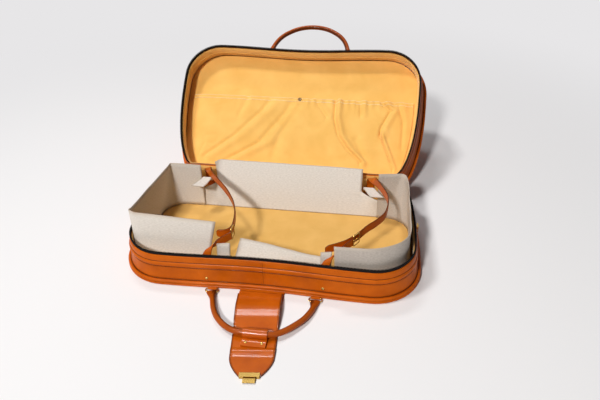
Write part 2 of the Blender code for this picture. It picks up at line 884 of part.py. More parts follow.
def board_right():
    """Back-right, right and front-right sides, folded from one strip."""
    side = half_width - board_side_inset
    front = -half_length + board_front_inset
    back = half_length - board_back_inset
    foot = board_foot()
    top = foot + board_height
    radius = board_corner_radius
    front_radius = radius * 1.45
    back_corner = arc((side - radius, back - radius), radius, 90, 0, 6)
    front_corner = arc((side - front_radius, front + front_radius), front_radius, 0, -90, 6)
    notch_x = side * 0.745
    free_x = side * 0.50
    flat = [(notch_x, back)] + back_corner + front_corner + [(free_x, front)]
    foot_line = [(x, y, foot) for x, y in flat]
    rise = [(notch_x, back + board_thickness * 8)]
    rise += [(x, y + board_thickness * 11) for x, y in back_corner[:3]]
    rise += [(x, y + board_thickness * 9) for x, y in back_corner[3:5]]
    rise += [(x, y + board_thickness * 4) for x, y in back_corner[5:]]
    rise += front_corner + [(free_x, front - board_thickness)]
    top_line = [(x, y, top) for x, y in rise]
    return board_sheet("liner_right", foot_line, top_line, len(foot_line) - 1)


def board_back():
    """Middle of the back side, creased at its foot and leaning back over the hinge.

    Below the notches for the straps it reaches behind the two folded sides.
    """
    side = half_width - board_side_inset
    back = half_length - board_back_inset + board_layer_gap
    foot = board_foot()
    reach = math.sqrt(board_height ** 2 - board_mid_lean ** 2)
    left, right = -side * 0.575, side * 0.615
    low_left, low_right = -side * 0.735, side * 0.800
    notch_share = 0.40

    def place(u, v):
        notch = math.sqrt(min(1, max(0, v / notch_share - 1)))
        start = low_left + (left - low_left) * notch
        end = low_right + (right - low_right) * notch
        bow = board_thickness * 5 * math.sin(math.pi * v)
        return Vector((start + (end - start) * u, back + board_mid_lean * (1 - 0.05 * u) * v - bow,
                       foot + reach * (1 - 0.02 * u) * v))
    return finish(shade(bent_sheet("liner_back", 1, 10, place, board_thickness)), "board")


def board_front():
    """Low middle of the front side, pressed inward."""
    side = half_width - board_side_inset
    front = -half_length + board_front_inset
    foot = board_foot()
    left, right = -side * 0.255, side * 0.365
    lean = board_lean

    def place(u, v):
        x = left + (right - left) * u
        height = board_height * (0.60 - 0.10 * u)
        inward = lean * (1.05 - 0.55 * u) * v ** 1.5
        ripple = board_thickness * 2 * math.sin(math.pi * 2 * u) * v
        return Vector((x, front + inward + ripple, foot + height * v))
    return finish(shade(bent_sheet("liner_front", 8, 4, place, board_thickness)), "board")


def board_tab(name, left, right, drop_left, drop_right):
    """Strip of board in a back notch, with its top folded inward as a tab."""
    back = half_length - board_back_inset
    foot = board_foot()
    crease = foot + board_height * 0.72
    tab_length = board_height * 0.27

    def place(u, v):
        if v <= 0.5:
            share = v / 0.5
            return Vector((left + (right - left) * u, back + board_thickness * 2 * share,
                           foot + (crease - foot) * share))
        share = (v - 0.5) / 0.5
        shift = drop_left + (drop_right - drop_left) * u
        return Vector((left + (right - left) * u + shift * share,
                       back + board_thickness * 2 - tab_length * share,
                       crease - board_thickness * 3 * share))
    return finish(bent_sheet(name, 1, 4, place, board_thickness), "board")


# Compression straps, by shares of the half width, half length and base depth
strap_foot_share = 0.21
strap_waist_share = 0.56
strap_rise_share = 0.74


def station_point(station):
    """The place of a strap's station."""
    x, y, z, lean = station
    return Vector((x * half_width, y * half_length, z * base_depth))


def strap_sheet(name, stations, steps=3):
    """Leather strap through stations of (x, y, z) shares and the lean of its width.

    A lean of 0 lays the width along X, as on a wall; a lean of 1 stands it upright.
    """
    middles = [station_point(station) for station in stations]
    leans = [Vector((lean, 0, 0)) for x, y, z, lean in stations]
    route = smooth_route(middles, steps)
    turns = smooth_route(leans, steps)

    def place(u, v):
        angle = min(1, max(0, along(turns, v).x)) * math.pi / 2
        across = Vector((math.cos(angle), 0, math.sin(angle)))
        return along(route, v) + across * strap_width * (u - 0.5)
    return finish(shade(bent_sheet(name, 1, len(route) - 1, place, strap_thickness), 60), "leather")


def wall_rest(x_share, at_back, level_share=strap_rise_share):
    """Y share at which a strap lies on the front or back wall's lining."""
    waist = welt_heights(BASE)[0] - clearance
    foot = panel_thickness + clearance
    inner = skin_back_reach + clearance + lining_thickness
    inner_foot = lining_thickness - lining_foot(BASE)
    share = min(1, max(0, (level_share * base_depth - foot) / (waist - foot)))
    inner = inner_foot + (inner - inner_foot) * share
    x = abs(x_share) * half_width
    gap = strap_foot_gap if level_share == strap_foot_share else strap_hem_gap
    lift = strap_thickness / 2 + gap
    if at_back:
        return (half_length - inner - lift) / half_length
    return (-half_length + inner + sag(x - strap_width / 2) + lift) / half_length


def wall_run(x_share, at_back):
    """Stations of a strap that is sewn at its foot and climbs a wall."""
    return tuple((x_share, wall_rest(x_share, at_back, share), share, 0)
                 for share in (strap_foot_share, strap_waist_share, strap_rise_share))


def left_straps():
    """Long strap from the back wall to its tail, and the short one from the front wall."""
    anchor = left_anchor_x / half_width
    long_stations = wall_run(-0.667, True) + (
        (-0.657, 0.880, 1.03, 0.1), (-0.620, 0.715, 1.25, 0.5), (-0.560, 0.520, 1.34, 0.9),
        (-0.467, 0.333, 1.32, 1), (-0.377, 0.133, 1.30, 1), (-0.307, -0.073, 1.27, 1),
        (-0.266, -0.273, 1.26, 1), (-0.2475, -0.473, 1.25, 1), (-0.2490, -0.600, 1.23, 1),
        (-0.285, -0.655, 1.21, 1), (-0.345, -0.660, 1.19, 1))
    short_stations = wall_run(anchor, False) + (
        (anchor * 0.957, -0.885, 1.02, 0.3), (anchor * 0.845, -0.830, 1.15, 0.75),
        (anchor * 0.70, -0.765, 1.21, 1), (-0.2343, -0.7010, 1.23, 1))
    strap_sheet("strap_left_long", long_stations)
    strap_sheet("strap_left_short", short_stations)
    return buckle("left", short_stations[-1], long_stations[-4], long_stations[-3])


def right_straps():
    """The same pair on the right."""
    anchor = right_anchor_x / half_width
    long_stations = wall_run(0.653, True) + (
        (0.658, 0.880, 1.03, 0.1), (0.672, 0.715, 1.25, 0.5), (0.698, 0.576, 1.36, 0.9),
        (0.741, 0.436, 1.36, 1), (0.790, 0.242, 1.32, 1), (0.795, 0.061, 1.30, 1),
        (0.777, -0.103, 1.27, 1), (0.727, -0.255, 1.26, 1), (0.667, -0.382, 1.25, 1),
        (0.620, -0.503, 1.23, 1), (0.550, -0.655, 1.22, 1), (0.480, -0.733, 1.19, 1),
        (0.407, -0.794, 1.17, 1))
    short_stations = wall_run(anchor, False) + (
        (anchor * 1.07, -0.890, 1.02, 0.3), (0.495, -0.805, 1.15, 0.75), (0.5807, -0.6376, 1.22, 1))
    strap_sheet("strap_right_long", long_stations)
    strap_sheet("strap_right_short", short_stations)
    return buckle("right", short_stations[-1], long_stations[-5], long_stations[-4])


def buckle(side_name, strap_end, before, after):
    """Wire frame beyond a short strap's end, along the long strap, and the prong on its far bar."""
    course = station_point(after) - station_point(before)
    spin = Matrix.Rotation(math.atan2(course.y, course.x), 4, "Z")
    middle = station_point(strap_end) - spin @ Vector((buckle_length / 2 + buckle_gap, 0, 0))
    turn = Matrix.Translation(middle) @ spin @ Matrix.Rotation(math.pi / 2, 4, "X")
    corners = rounded_rectangle(buckle_length, buckle_height, buckle_wire_radius * 2)
    points = [turn @ Vector((x, y, 0)) for x, y in corners]
    frame = wire("buckle_" + side_name, points, buckle_wire_radius)
    finish(shade(frame, 60), "brass")
    inside = buckle_length - 2 * buckle_wire_radius - 2 * clearance
    lay = turn @ Matrix.Rotation(math.pi / 2, 4, "Y")
    finish(shade(turned("prong_" + side_name, prong_radius, prong_radius, inside, lay, 8)), "brass")
    return turn @ Vector((buckle_length / 2, 0, 0))


def strap_stud(name, x):
    """Rivet head on the front wall, over a strap's anchor."""
    waist = welt_heights(BASE)[0] - clearance
    foot = panel_thickness + clearance + 2 * piping_radius
    wall_foot = base_flare - 2 * piping_radius - clearance
    share = (stud_level - foot) / (waist - foot)
    reach = wall_foot + (band_foot_reach - wall_foot) * share
    slope = math.atan2(wall_foot - band_foot_reach, waist - foot)
    normal = Vector((0, -math.cos(slope), math.sin(slope)))
    seat = Vector((x, -half_length - reach + sag(x), stud_level)) + normal * (clearance + stud_height / 2)
    place = Matrix.Translation(seat) @ normal.to_track_quat("Z", "Y").to_matrix().to_4x4()
    return finish(turned(name, stud_radius, stud_radius * 0.6, stud_height, place, 12), "brass")


# Lid pocket
def pocket_fold(x, share):
    """Height that the gathered folds add, at x and a share of the way from hinge to hem."""
    folds = ((-0.78, 0.10, 0.5), (-0.45, 0.10, 0.5), (-0.16, 0.12, 0.35), (0.10, 0.05, 0.9),
             (0.22, 0.06, 0.6), (0.36, 0.05, 1.0), (0.50, 0.06, 0.6), (0.66, 0.05, 1.0), (0.82, 0.06, 0.8))
    height = 0
    for place, spread, strength in folds:
        drift = place + 0.10 * (1 - share)
        height += strength * math.exp(-((x / half_width - drift) / spread) ** 2)
    return pocket_fold_height * height * share


def pocket_point(u, v):
    """A point of the pocket, with v from the hinge side to the hem."""
    inset = skin_back_reach + clearance + lining_thickness + pocket_side_gap
    y = half_length - inset - pocket_length * v
    side = rim_half_width(y) - inset
    x = (2 * u - 1) * side
    edge = min(1, (1 - abs(2 * u - 1)) * side / pocket_bulge / 3, v * pocket_length / pocket_bulge / 3)
    rise = math.sin(edge * math.pi / 2)
    height = floor_top() + clearance + pocket_thickness / 2
    height += rise * (pocket_bulge + pocket_fold(x, v))
    return Vector((x, y, level(LID, height)))


def pocket():
    """Lining pocket on the lid, gathered at its hem."""
    def place(u, v):
        return pocket_point(u, v)
    return finish(shade(bent_sheet("lid_pocket", 34, 10, place, pocket_thickness), 60), "lining")


def pocket_snap():
    """Press stud at the middle of the pocket's hem."""
    seat = pocket_point(0.5, 0.97)
    reach = pocket_thickness / 2 + clearance + snap_height / 2
    place = Matrix.Translation(seat - Vector((0, 0, reach + clearance)))
    return finish(turned("pocket_snap", snap_radius * 0.6, snap_radius, snap_height, place, 12), "bronze")


# Zip sliders
def slider(side, side_name):
    """Zip slider on the straight of one side."""
    reach = half_width + teeth_reach + clearance + slider_thickness / 2
    outline = rounded_rectangle(slider_length, slider_height, slider_height / 4, 2)
    made = slab("zip_slider_" + side_name, outline, slider_thickness)
    made.data.transform(Matrix.Translation((side * reach, slider_place, base_depth))
                        @ Matrix(((0, 0, 1, 0), (1, 0, 0, 0), (0, 1, 0, 0), (0, 0, 0, 1))))
    return finish(made, "brass")


def pull_pin(side):
    """Point on the pin of one slider's pull."""
    reach = half_width + teeth_reach + 3 * clearance + slider_thickness + pull_thickness / 2
    return Vector((side * reach, slider_place, base_depth + slider_height / 4))


def pull(side, side_name):
    """Pull tab that hangs from a slider."""
    outline = rounded_rectangle(pull_width, pull_length, pull_width / 3, 2)
    made = slab("zip_pull_" + side_name, outline, pull_thickness)
    pin = pull_pin(side)
    drop = Vector((0, 0, (pull_length - pull_thickness) / 2))
    made.data.transform(Matrix.Translation(pin - drop)
                        @ Matrix(((0, 0, 1, 0), (1, 0, 0, 0), (0, 1, 0, 0), (0, 0, 0, 1))))
    return finish(made, "brass")


# Joint axes
def axis_empty(name, point, parent=None):
    """An empty on a joint's axis, in the closed case."""
    made = bpy.data.objects.new(name, None)
    suitcase.objects.link(made)
    made.empty_display_size = ring_length
    if parent is None:
        made.location = point
    else:
        made.parent = parent
        made.location = Vector(point) - Vector(parent["point"])
    made["point"] = tuple(point)
    return made


def carry(axis, *pieces):
    """Let pieces that are drawn in their closed place move with an axis empty."""
    for piece in pieces:
        piece.parent = axis
        piece.matrix_parent_inverse = Matrix.Translation(-Vector(axis["point"]))


def lid_angle():
    """Opening at which the rolled edge of the lid's outer panel rests on the floor."""
    along_wall = lid_depth - panel_edge_radius
    outward = lid_flare - panel_edge_radius
    reach = math.hypot(along_wall, outward)
    drop = (base_depth - panel_edge_radius) / reach
    return math.atan2(along_wall, outward) + math.asin(drop)


# Assembly
def build_base():
    """Fixed pieces of the base, its liner and its straps."""
    shell(BASE)
    for side, side_name in ((-1, "left"), (1, "right")):
        chape(BASE, side, side_name)
    flap_root()
    board_left()
    board_right()
    board_back()
    board_front()
    side = half_width - board_side_inset
    board_tab("liner_tab_left", -side * 0.660, -side * 0.600, -board_thickness * 8, -board_thickness * 6)
    board_tab("liner_tab_right", side * 0.630, side * 0.712, board_thickness * 16, board_thickness * 18)
    strap_stud("strap_stud_left", left_anchor_x)
    strap_stud("strap_stud_right", right_anchor_x)
    for side_name, bar in (("left", left_straps()), ("right", right_straps())):
        axis = axis_empty(f"prong_{side_name}_axis", bar)
        carry(axis, bpy.data.objects["prong_" + side_name])


def build_sliders():
    """Zip sliders and their pulls."""
    for side, side_name in ((-1, "left"), (1, "right")):
        axis = axis_empty(f"zip_slider_{side_name}_axis", (side * half_width, slider_place, base_depth))
        carry(axis, slider(side, side_name))
        pin = axis_empty(f"zip_pull_{side_name}_axis", pull_pin(side), axis)
        carry(pin, pull(side, side_name))


def build_base_handle():
    """Handle, rings and sleeve in front of the base."""
    y = ring_axis_y(BASE)
    axis = axis_empty("base_handle_axis", (0, y, ring_axis_height))
    carry(axis, handle(BASE), ring(BASE, -1, "left"), ring(BASE, 1, "right"))
    grip = axis_empty("handle_sleeve_axis", (0, y - handle_reach, handle_middle_height()), axis)
    carry(grip, sleeve())
    return axis


def build_flap(handle_axis):
    """Flap, clasp and hook, laid on the floor under the handle and skewed as it lies."""
    y = ring_axis_y(BASE)
    fold = axis_empty("flap_fold_axis", (0, y, ring_axis_height), handle_axis)
    carry(fold, flap_neck())
    sway = axis_empty("flap_sway_axis", (0, y - flap_sway_distance, clearance), fold)
    sway.rotation_euler.z = flap_skew
    carry(sway, flap_strap())
    bend_height = 2 * clearance + flap_thickness
    bend = axis_empty("flap_bend_axis", (0, y - flap_bend_distance, bend_height), sway)
    carry(bend, flap_tip(), clasp())
    pin_y, pin_z = hook_axis()
    pin = axis_empty("clasp_hook_axis", (0, pin_y, pin_z), bend)
    carry(pin, hook())


def build_lid():
    """Lid, drawn closed, with its handle, lock and pocket, then opened."""
    axis = axis_empty("lid_axis", hinge_point)
    carry(axis, *shell(LID), pocket(), pocket_snap(), lock_plate())
    for side, side_name in ((-1, "left"), (1, "right")):
        carry(axis, chape(LID, side, side_name))
    button = axis_empty("lock_button_axis", (0, lock_centre_y(), closed_height), axis)
    carry(button, lock_button())
    ring_axis = axis_empty("lid_handle_axis", (0, ring_axis_y(LID), level(LID, ring_axis_height)), axis)
    carry(ring_axis, handle(LID), ring(LID, -1, "left"), ring(LID, 1, "right"))
    ring_axis.rotation_euler.x = -lid_handle_droop
    axis.rotation_euler.x = -lid_angle()


build_base()
build_sliders()
build_flap(build_base_handle())
build_lid()
bpy.context.view_layer.update()
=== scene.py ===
# %% [markdown]
# # A leather suitcase, lying open
#
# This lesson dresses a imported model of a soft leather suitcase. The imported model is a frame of
# plain solids that already have the right size, place and joints. Each cell adds one piece or
# one finish, and says why it is made that way.

import math

import bmesh
import bpy
from mathutils import Matrix, Vector, noise


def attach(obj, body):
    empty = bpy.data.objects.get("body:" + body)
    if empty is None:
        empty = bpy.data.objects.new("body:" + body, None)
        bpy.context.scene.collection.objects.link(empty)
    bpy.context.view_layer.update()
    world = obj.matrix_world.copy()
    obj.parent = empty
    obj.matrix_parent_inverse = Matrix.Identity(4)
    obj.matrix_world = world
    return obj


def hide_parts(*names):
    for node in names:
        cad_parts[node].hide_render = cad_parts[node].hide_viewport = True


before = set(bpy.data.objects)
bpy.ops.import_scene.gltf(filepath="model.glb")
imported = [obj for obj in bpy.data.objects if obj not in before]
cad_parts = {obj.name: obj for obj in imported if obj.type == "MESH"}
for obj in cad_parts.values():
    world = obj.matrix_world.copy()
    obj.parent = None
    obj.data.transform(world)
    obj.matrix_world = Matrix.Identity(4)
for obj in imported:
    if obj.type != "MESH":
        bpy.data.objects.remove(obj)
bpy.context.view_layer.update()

# %% [markdown]
# ## Sizes
#
# A case like this is built round a stiff rim, so almost every piece can be drawn by following
# that rim at some distance outward and some height above the outer face. The values below are
# the rim's own sizes, in metres, and the few thicknesses that all pieces share.

# %% The case's driving sizes
case_width = 0.600
case_length = 0.330
front_corner_radius = 0.085
back_corner_width = 0.055
back_corner_share = 0.652
front_sag = 0.007
base_depth = 0.0755
lid_depth = 0.0824
base_flare = 0.0148
lid_flare = 0.0200
clearance = 0.0003
panel_thickness = 0.0055
panel_edge_radius = 0.0026
piping_radius = 0.0033
welt_height = 0.0124
welt_bulge = 0.0055
band_height = 0.0112
zip_height = 0.0095
lining_thickness = 0.0020
skin_back_reach = 0.0027
wall_leather = 0.0021

half_width = case_width / 2
half_length = case_length / 2
back_corner_length = case_length * back_corner_share
closed_height = base_depth + lid_depth
MM = 0.001
ACROSS, BACK, UP = Vector((1, 0, 0)), Vector((0, 1, 0)), Vector((0, 0, 1))


class Half:
    """One half of the case, with the (low, high) heights and the reaches that its strips share."""

    def __init__(self, name, depth, flare):
        self.name = name
        self.handle = name + "_handle"
        self.depth = depth
        self.flare = flare
        self.is_lid = name == "lid"
        band_top = depth - zip_height - clearance
        self.band = (band_top - band_height, band_top)
        self.welt = (self.band[0] - clearance - welt_height, self.band[0] - clearance)
        self.wall = (panel_thickness + clearance, self.welt[0] - clearance)
        self.wall_foot = flare - 2 * piping_radius - clearance
        self.lining_foot = self.wall_foot - 2 * clearance - wall_leather


BASE = Half("base", base_depth, base_flare)
LID = Half("lid", lid_depth, lid_flare)
HALVES = (BASE, LID)

# %% [markdown]
# ## Where the lid lies
#
# Lid pieces are drawn as if the case were closed, which makes them mirror images of the base's,
# and are then turned about the hinge. The opening angle isn't typed in: the rear edge of the lid
# rests on the floor, and that fixes it.

# %% Matrices that open the lid and its handle
hinge_point = Vector((0, half_length, base_depth))
lid_handle_droop = math.radians(23)
ring_spread = 0.1055
ring_gap = 0.0045
ring_axis_height = 0.0036
handle_centre_x = 0.004


def sag(x):
    """How far the front edge is drawn in at x."""
    straight = half_width - front_corner_radius
    if abs(x) > straight:
        return 0
    return front_sag * math.cos(math.pi * x / (2 * straight)) ** 2


def level(half, height):
    """World Z, in the closed case, of a height above a half's outer face."""
    return closed_height - height if half.is_lid else height


def ring_axis_y(half):
    """Y, in the closed case, of the bar that a half's rings turn on."""
    return -(half_length + half.flare) + sag(ring_spread) - ring_gap


def turned_about(point, angle):
    """A turn about an axis along X through a point."""
    return Matrix.Translation(point) @ Matrix.Rotation(angle, 4, "X") @ Matrix.Translation(-point)


wall_run = lid_depth - panel_edge_radius
wall_reach = lid_flare - panel_edge_radius
lid_angle = math.atan2(wall_run, wall_reach) + math.asin(
    (base_depth - panel_edge_radius) / math.hypot(wall_run, wall_reach))
opened = turned_about(hinge_point, -lid_angle)
lid_ring_axis = Vector((0, ring_axis_y(LID), level(LID, ring_axis_height)))
opened_handle = opened @ turned_about(lid_ring_axis, -lid_handle_droop)
print("lid opened by", round(math.degrees(lid_angle), 1), "degrees")


def place_of(half):
    """The matrix that takes a piece drawn in the closed case to where it lies."""
    return opened if half.is_lid else Matrix.Identity(4)


# %% [markdown]
# ## Node groups that several finishes share
#
# Leather, suede, linen board and tape all need a fine surface. A shader node group is built once
# and placed in each material with its own values, so one change reaches every finish. Each group
# puts out only values that change over the surface: a height for a Bump node and a mask for
# mixing colours.

# %% Helpers that place nodes and feed their sockets
def feed(tree, node, **sockets):
    """Give each named socket, with _ for a space, a value or a link; returns the node."""
    for name, value in sockets.items():
        socket = node.inputs[name.replace("_", " ")]
        if isinstance(value, bpy.types.NodeSocket):
            tree.links.new(value, socket)
        else:
            socket.default_value = (*value, 1) if socket.type == "RGBA" else value
    return node


def add_node(tree, kind, settings=(), **sockets):
    """A shader node; its settings are made first, because they decide which sockets it has."""
    node = tree.nodes.new("ShaderNode" + kind)
    for name, value in dict(settings).items():
        setattr(node, name, value)
    return feed(tree, node, **sockets)


def math_node(tree, operation, *operands):
    """What a Math node puts out; each operand is a socket or a number."""
    node = add_node(tree, "Math", {"operation": operation})
    for socket, operand in zip(node.inputs, operands):
        if isinstance(operand, bpy.types.NodeSocket):
            tree.links.new(operand, socket)
        else:
            socket.default_value = operand
    return node.outputs[0]


def node_group(name, size_name, size, outputs):
    """An empty shader group; returns it, its size and vector sockets, and its end node."""
    group = bpy.data.node_groups.new(name, "ShaderNodeTree")
    made = group.interface.new_socket(size_name, in_out="INPUT", socket_type="NodeSocketFloat")
    made.default_value = size
    group.interface.new_socket("Vector", in_out="INPUT", socket_type="NodeSocketVector")
    for socket in outputs:
        group.interface.new_socket(socket, in_out="OUTPUT", socket_type="NodeSocketFloat")
    start = group.nodes.new("NodeGroupInput")
    return group, start.outputs[0], start.outputs[1], group.nodes.new("NodeGroupOutput")


# %% Leather grain, cloth nap and linen weave
def make_grain_group():
    """Pebbled grain of finished hide: small cells with soft creases, and a slow mottle."""
    group, scale, vector, end = node_group("Leather grain", "Scale", 900.0, ("Height", "Mottle"))
    cells = add_node(group, "TexVoronoi", {"feature": "SMOOTH_F1"}, Smoothness=0.6, Scale=scale,
                     Vector=vector)
    pores = add_node(group, "TexNoise", Detail=3, Scale=math_node(group, "MULTIPLY", scale, 2.3),
                     Vector=vector)
    mottle = add_node(group, "TexNoise", Detail=4, Roughness=0.6,
                      Scale=math_node(group, "MULTIPLY", scale, 0.02), Vector=vector)
    half_pores = math_node(group, "MULTIPLY", pores.outputs["Fac"], 0.5)
    feed(group, end, Mottle=mottle.outputs["Fac"],
         Height=math_node(group, "MULTIPLY_ADD", cells.outputs["Distance"], -0.7, half_pores))
    return group


def make_nap_group():
    """Brushed nap of suede cloth: very fine noise, with larger clouds where it is stroked."""
    group, scale, vector, end = node_group("Suede nap", "Scale", 1400.0, ("Height", "Clouds"))
    fibres = add_node(group, "TexNoise", Detail=4, Roughness=0.7, Scale=scale, Vector=vector)
    clouds = add_node(group, "TexNoise", Detail=5, Distortion=0.4,
                      Scale=math_node(group, "MULTIPLY", scale, 0.015), Vector=vector)
    feed(group, end, Height=fibres.outputs["Fac"], Clouds=clouds.outputs["Fac"])
    return group


def make_weave_group():
    """Plain weave on UVs in metres: threads over and under, with slubs drawn out one way."""
    group, threads, vector, end = node_group("Linen weave", "Threads per metre", 1500.0,
                                             ("Height", "Slub"))
    parts = add_node(group, "SeparateXYZ", Vector=vector)
    waves = []
    for axis in ("X", "Y"):
        turns = math_node(group, "MULTIPLY", parts.outputs[axis], threads)
        waves.append(math_node(group, "SINE", math_node(group, "MULTIPLY", turns, math.pi)))
    woven = math_node(group, "MULTIPLY", math_node(group, "MULTIPLY", *waves), 0.3)
    stretch = add_node(group, "Mapping", Scale=(210, 620, 1), Vector=vector)
    slub = add_node(group, "TexNoise", Detail=3, Scale=1, Vector=stretch.outputs[0])
    feed(group, end, Slub=slub.outputs["Fac"],
         Height=math_node(group, "ADD", woven, slub.outputs["Fac"]))
    return group


grain_group = make_grain_group()
nap_group = make_nap_group()
weave_group = make_weave_group()
print("node groups:", [group.name for group in (grain_group, nap_group, weave_group)])

# %% [markdown]
# ## Finishes
#
# Every material is a Principled shader fed by one group. The colours come from the finish a
# saddler would name: cognac hide with darker painted edges, golden suede cloth, grey linen-faced
# board, black zip, polished brass. Leather is glossy because its top coat is, so a little Coat
# does more for it than a low roughness alone.

# %% Helpers that every finish uses
def new_material(name, group, coordinate, **values):
    """A material with one surface group; returns it, its tree, its shader and what the group gives."""
    made = bpy.data.materials.new(name)
    made.use_nodes = True
    tree = made.node_tree
    vector = add_node(tree, "TexCoord").outputs[coordinate]
    surface = add_node(tree, "Group", {"node_tree": group}, Vector=vector, **values)
    return made, tree, tree.nodes["Principled BSDF"], surface.outputs


def bump(tree, height, strength, distance):
    """The normal that a height gives."""
    return add_node(tree, "Bump", Strength=strength, Distance=distance, Height=height).outputs[0]


def ramp(tree, fac, dark_end, dark, light_end, light):
    """A colour that runs from dark to light between two values."""
    node = add_node(tree, "ValToRGB", Fac=fac)
    for element, place, colour in zip(node.color_ramp.elements, (dark_end, light_end), (dark, light)):
        element.position = place
        element.color = (*colour, 1)
    return node.outputs[0]


def edge_painted(tree, body, paint):
    """The body's colour, and paint where the mesh's own edge attribute marks a cut edge."""
    edge = add_node(tree, "Attribute", {"attribute_name": "edge"}).outputs["Fac"]
    return add_node(tree, "Mix", {"data_type": "RGBA"}, Factor=edge, A=body, B=paint).outputs["Result"]


def darker(colour, share):
    return tuple(value * share for value in colour)


# %% Leather, suede, board, tape and metal
def leather(name, dark, light, roughness=0.40, coat=0.08, scale=900.0):
    """Finished hide with painted edges."""
    made, tree, shader, surface = new_material(name, grain_group, "Object", Scale=scale)
    body = ramp(tree, surface["Mottle"], 0.30, dark, 0.70, light)
    feed(tree, shader, Base_Color=edge_painted(tree, body, darker(dark, 0.28)),
         Roughness=math_node(tree, "MULTIPLY_ADD", surface["Height"], 0.10, roughness - 0.02),
         Coat_Weight=coat, Coat_Roughness=0.12, Specular_IOR_Level=0.06,
         Normal=bump(tree, surface["Height"], 0.35, 0.12 * MM))
    return made


def suede(name, dark, light):
    """Golden lining cloth with a soft nap."""
    made, tree, shader, surface = new_material(name, nap_group, "Object", Scale=1400.0)
    feed(tree, shader, Base_Color=ramp(tree, surface["Clouds"], 0.25, dark, 0.75, light),
         Roughness=0.92, Sheen_Weight=0.25, Sheen_Roughness=0.5, Specular_IOR_Level=0.2,
         Normal=bump(tree, surface["Height"], 0.4, 0.3 * MM))
    return made


def linen_board(name, dark, light):
    """Stiff board faced with linen; the cut edges show a darker core."""
    made, tree, shader, surface = new_material(name, weave_group, "UV", Threads_per_metre=1300.0)
    body = ramp(tree, surface["Slub"], 0.30, dark, 0.68, light)
    feed(tree, shader, Base_Color=edge_painted(tree, body, (0.50, 0.42, 0.34)), Roughness=0.88,
         Specular_IOR_Level=0.12, Normal=bump(tree, surface["Height"], 0.6, 0.3 * MM))
    return made


def plain_metal(name, colour, roughness):
    """Plated metal with faint rubbing marks."""
    made, tree, shader, surface = new_material(name, grain_group, "Object", Scale=300.0)
    feed(tree, shader, Base_Color=ramp(tree, surface["Mottle"], 0.3, darker(colour, 0.85), 0.7, colour),
         Metallic=1,
         Roughness=math_node(tree, "MULTIPLY_ADD", surface["Mottle"], 0.12, roughness - 0.06))
    return made


def tape(name, colour):
    """Woven zip tape and moulded teeth."""
    made, tree, shader, surface = new_material(name, nap_group, "Object", Scale=2600.0)
    feed(tree, shader, Base_Color=ramp(tree, surface["Height"], 0.35, darker(colour, 0.6), 0.65, colour),
         Roughness=0.7, Specular_IOR_Level=0.12, Normal=bump(tree, surface["Height"], 0.3, 0.2 * MM))
    return made


cognac = leather("cognac_hide", (0.45, 0.082, 0.002), (0.61, 0.125, 0.004), coat=0.05)
# A darker copy of the cognac hide: painted shade for the lid's walls, welt and band.
cognac_lid_shaded = leather("cognac_lid_hide", (0.32, 0.056, 0.002), (0.46, 0.090, 0.003), coat=0.03)
cognac_bright = leather("cognac_strap_hide", (0.43, 0.076, 0.001), (0.57, 0.112, 0.002), 0.50, 0.32)
cognac_grip = leather("cognac_grip_hide", (0.30, 0.053, 0.002), (0.42, 0.082, 0.004), 0.38, 0.16)
gold_suede = suede("gold_suede", (0.82, 0.455, 0.108), (0.92, 0.545, 0.155))
# The next two are darker copies of the gold suede: painted shade on the lid's wall lining and the corner
# welts, and on the base's floor lining.
shaded_wall_suede = suede("gold_wall_suede", (0.76, 0.410, 0.096), (0.88, 0.510, 0.138))
shaded_floor_suede = suede("gold_floor_suede", (0.70, 0.388, 0.090), (0.79, 0.465, 0.130))
grey_board = linen_board("grey_linen_board", (0.62, 0.565, 0.500), (0.74, 0.685, 0.620))
# A darker copy of the linen board: painted shade for the liner's right end.
grey_board_shaded = linen_board("grey_linen_board_shaded", (0.45, 0.395, 0.345), (0.58, 0.525, 0.465))
black_tape = tape("black_zip_tape", (0.012, 0.011, 0.011))
black_teeth = tape("black_zip_teeth", (0.009, 0.008, 0.008))
brass = plain_metal("polished_brass", (0.62, 0.40, 0.11), 0.13)
bronze = plain_metal("dark_bronze", (0.15, 0.095, 0.05), 0.35)
thread = leather("waxed_thread", (0.14, 0.032, 0.006), (0.22, 0.055, 0.010), 0.6, scale=3000.0)
# Near-black paint for dark joints and for the painted shade in the wall's grooves.
seam_and_shade_paint = leather("seam_and_shade_paint", (0.085, 0.018, 0.004), (0.12, 0.026, 0.006), 0.5)
# Pale gold for thread, and for the painted highlight along the pocket's hem.
gold_thread_and_highlight = suede("gold_thread_and_highlight", (0.90, 0.66, 0.33), (0.95, 0.76, 0.45))
print("materials:", len(bpy.data.materials))

# %% [markdown]
# ## Turning a bmesh into a finished piece
#
# Every new piece ends the same way: its normals are recalculated, it is shaded smooth with its
# real edges kept sharp, it gets its material, it is parented to the body of the frame that it
# rides on, and the plain solid that it replaces, if any, is hidden.

# %% The helper that finishes a piece
made_pieces = []


def mesh_of(name, work):
    """Keep a bmesh as a mesh."""
    data = bpy.data.meshes.new(name)
    work.to_mesh(data)
    work.free()
    return data


def finish(name, work, body, slot, material, replaces=False, place=None, sharp=40, recalculate=True):
    """Make a mesh object of a bmesh and let it ride on a body of the frame."""
    if recalculate:
        bmesh.ops.recalc_face_normals(work, faces=work.faces)
    if place is not None:
        work.transform(place)
    data = mesh_of(name, work)
    data.shade_smooth()
    data.set_sharp_from_angle(angle=math.radians(sharp))
    data.materials.append(material)
    made = bpy.data.objects.new(name, data)
    bpy.context.scene.collection.objects.link(made)
    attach(made, body)
    if replaces:
        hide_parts(slot)
    made_pieces.append(made)
    return made


def finish_half(half, label, work, node, material, replaces=False, sharp=40):
    """Finish a piece that rides on a half and was drawn in the closed case."""
    return finish(f"{half.name}_{label}", work, half.name, f"{half.name}_{node}", material, replaces,
                  place_of(half), sharp)


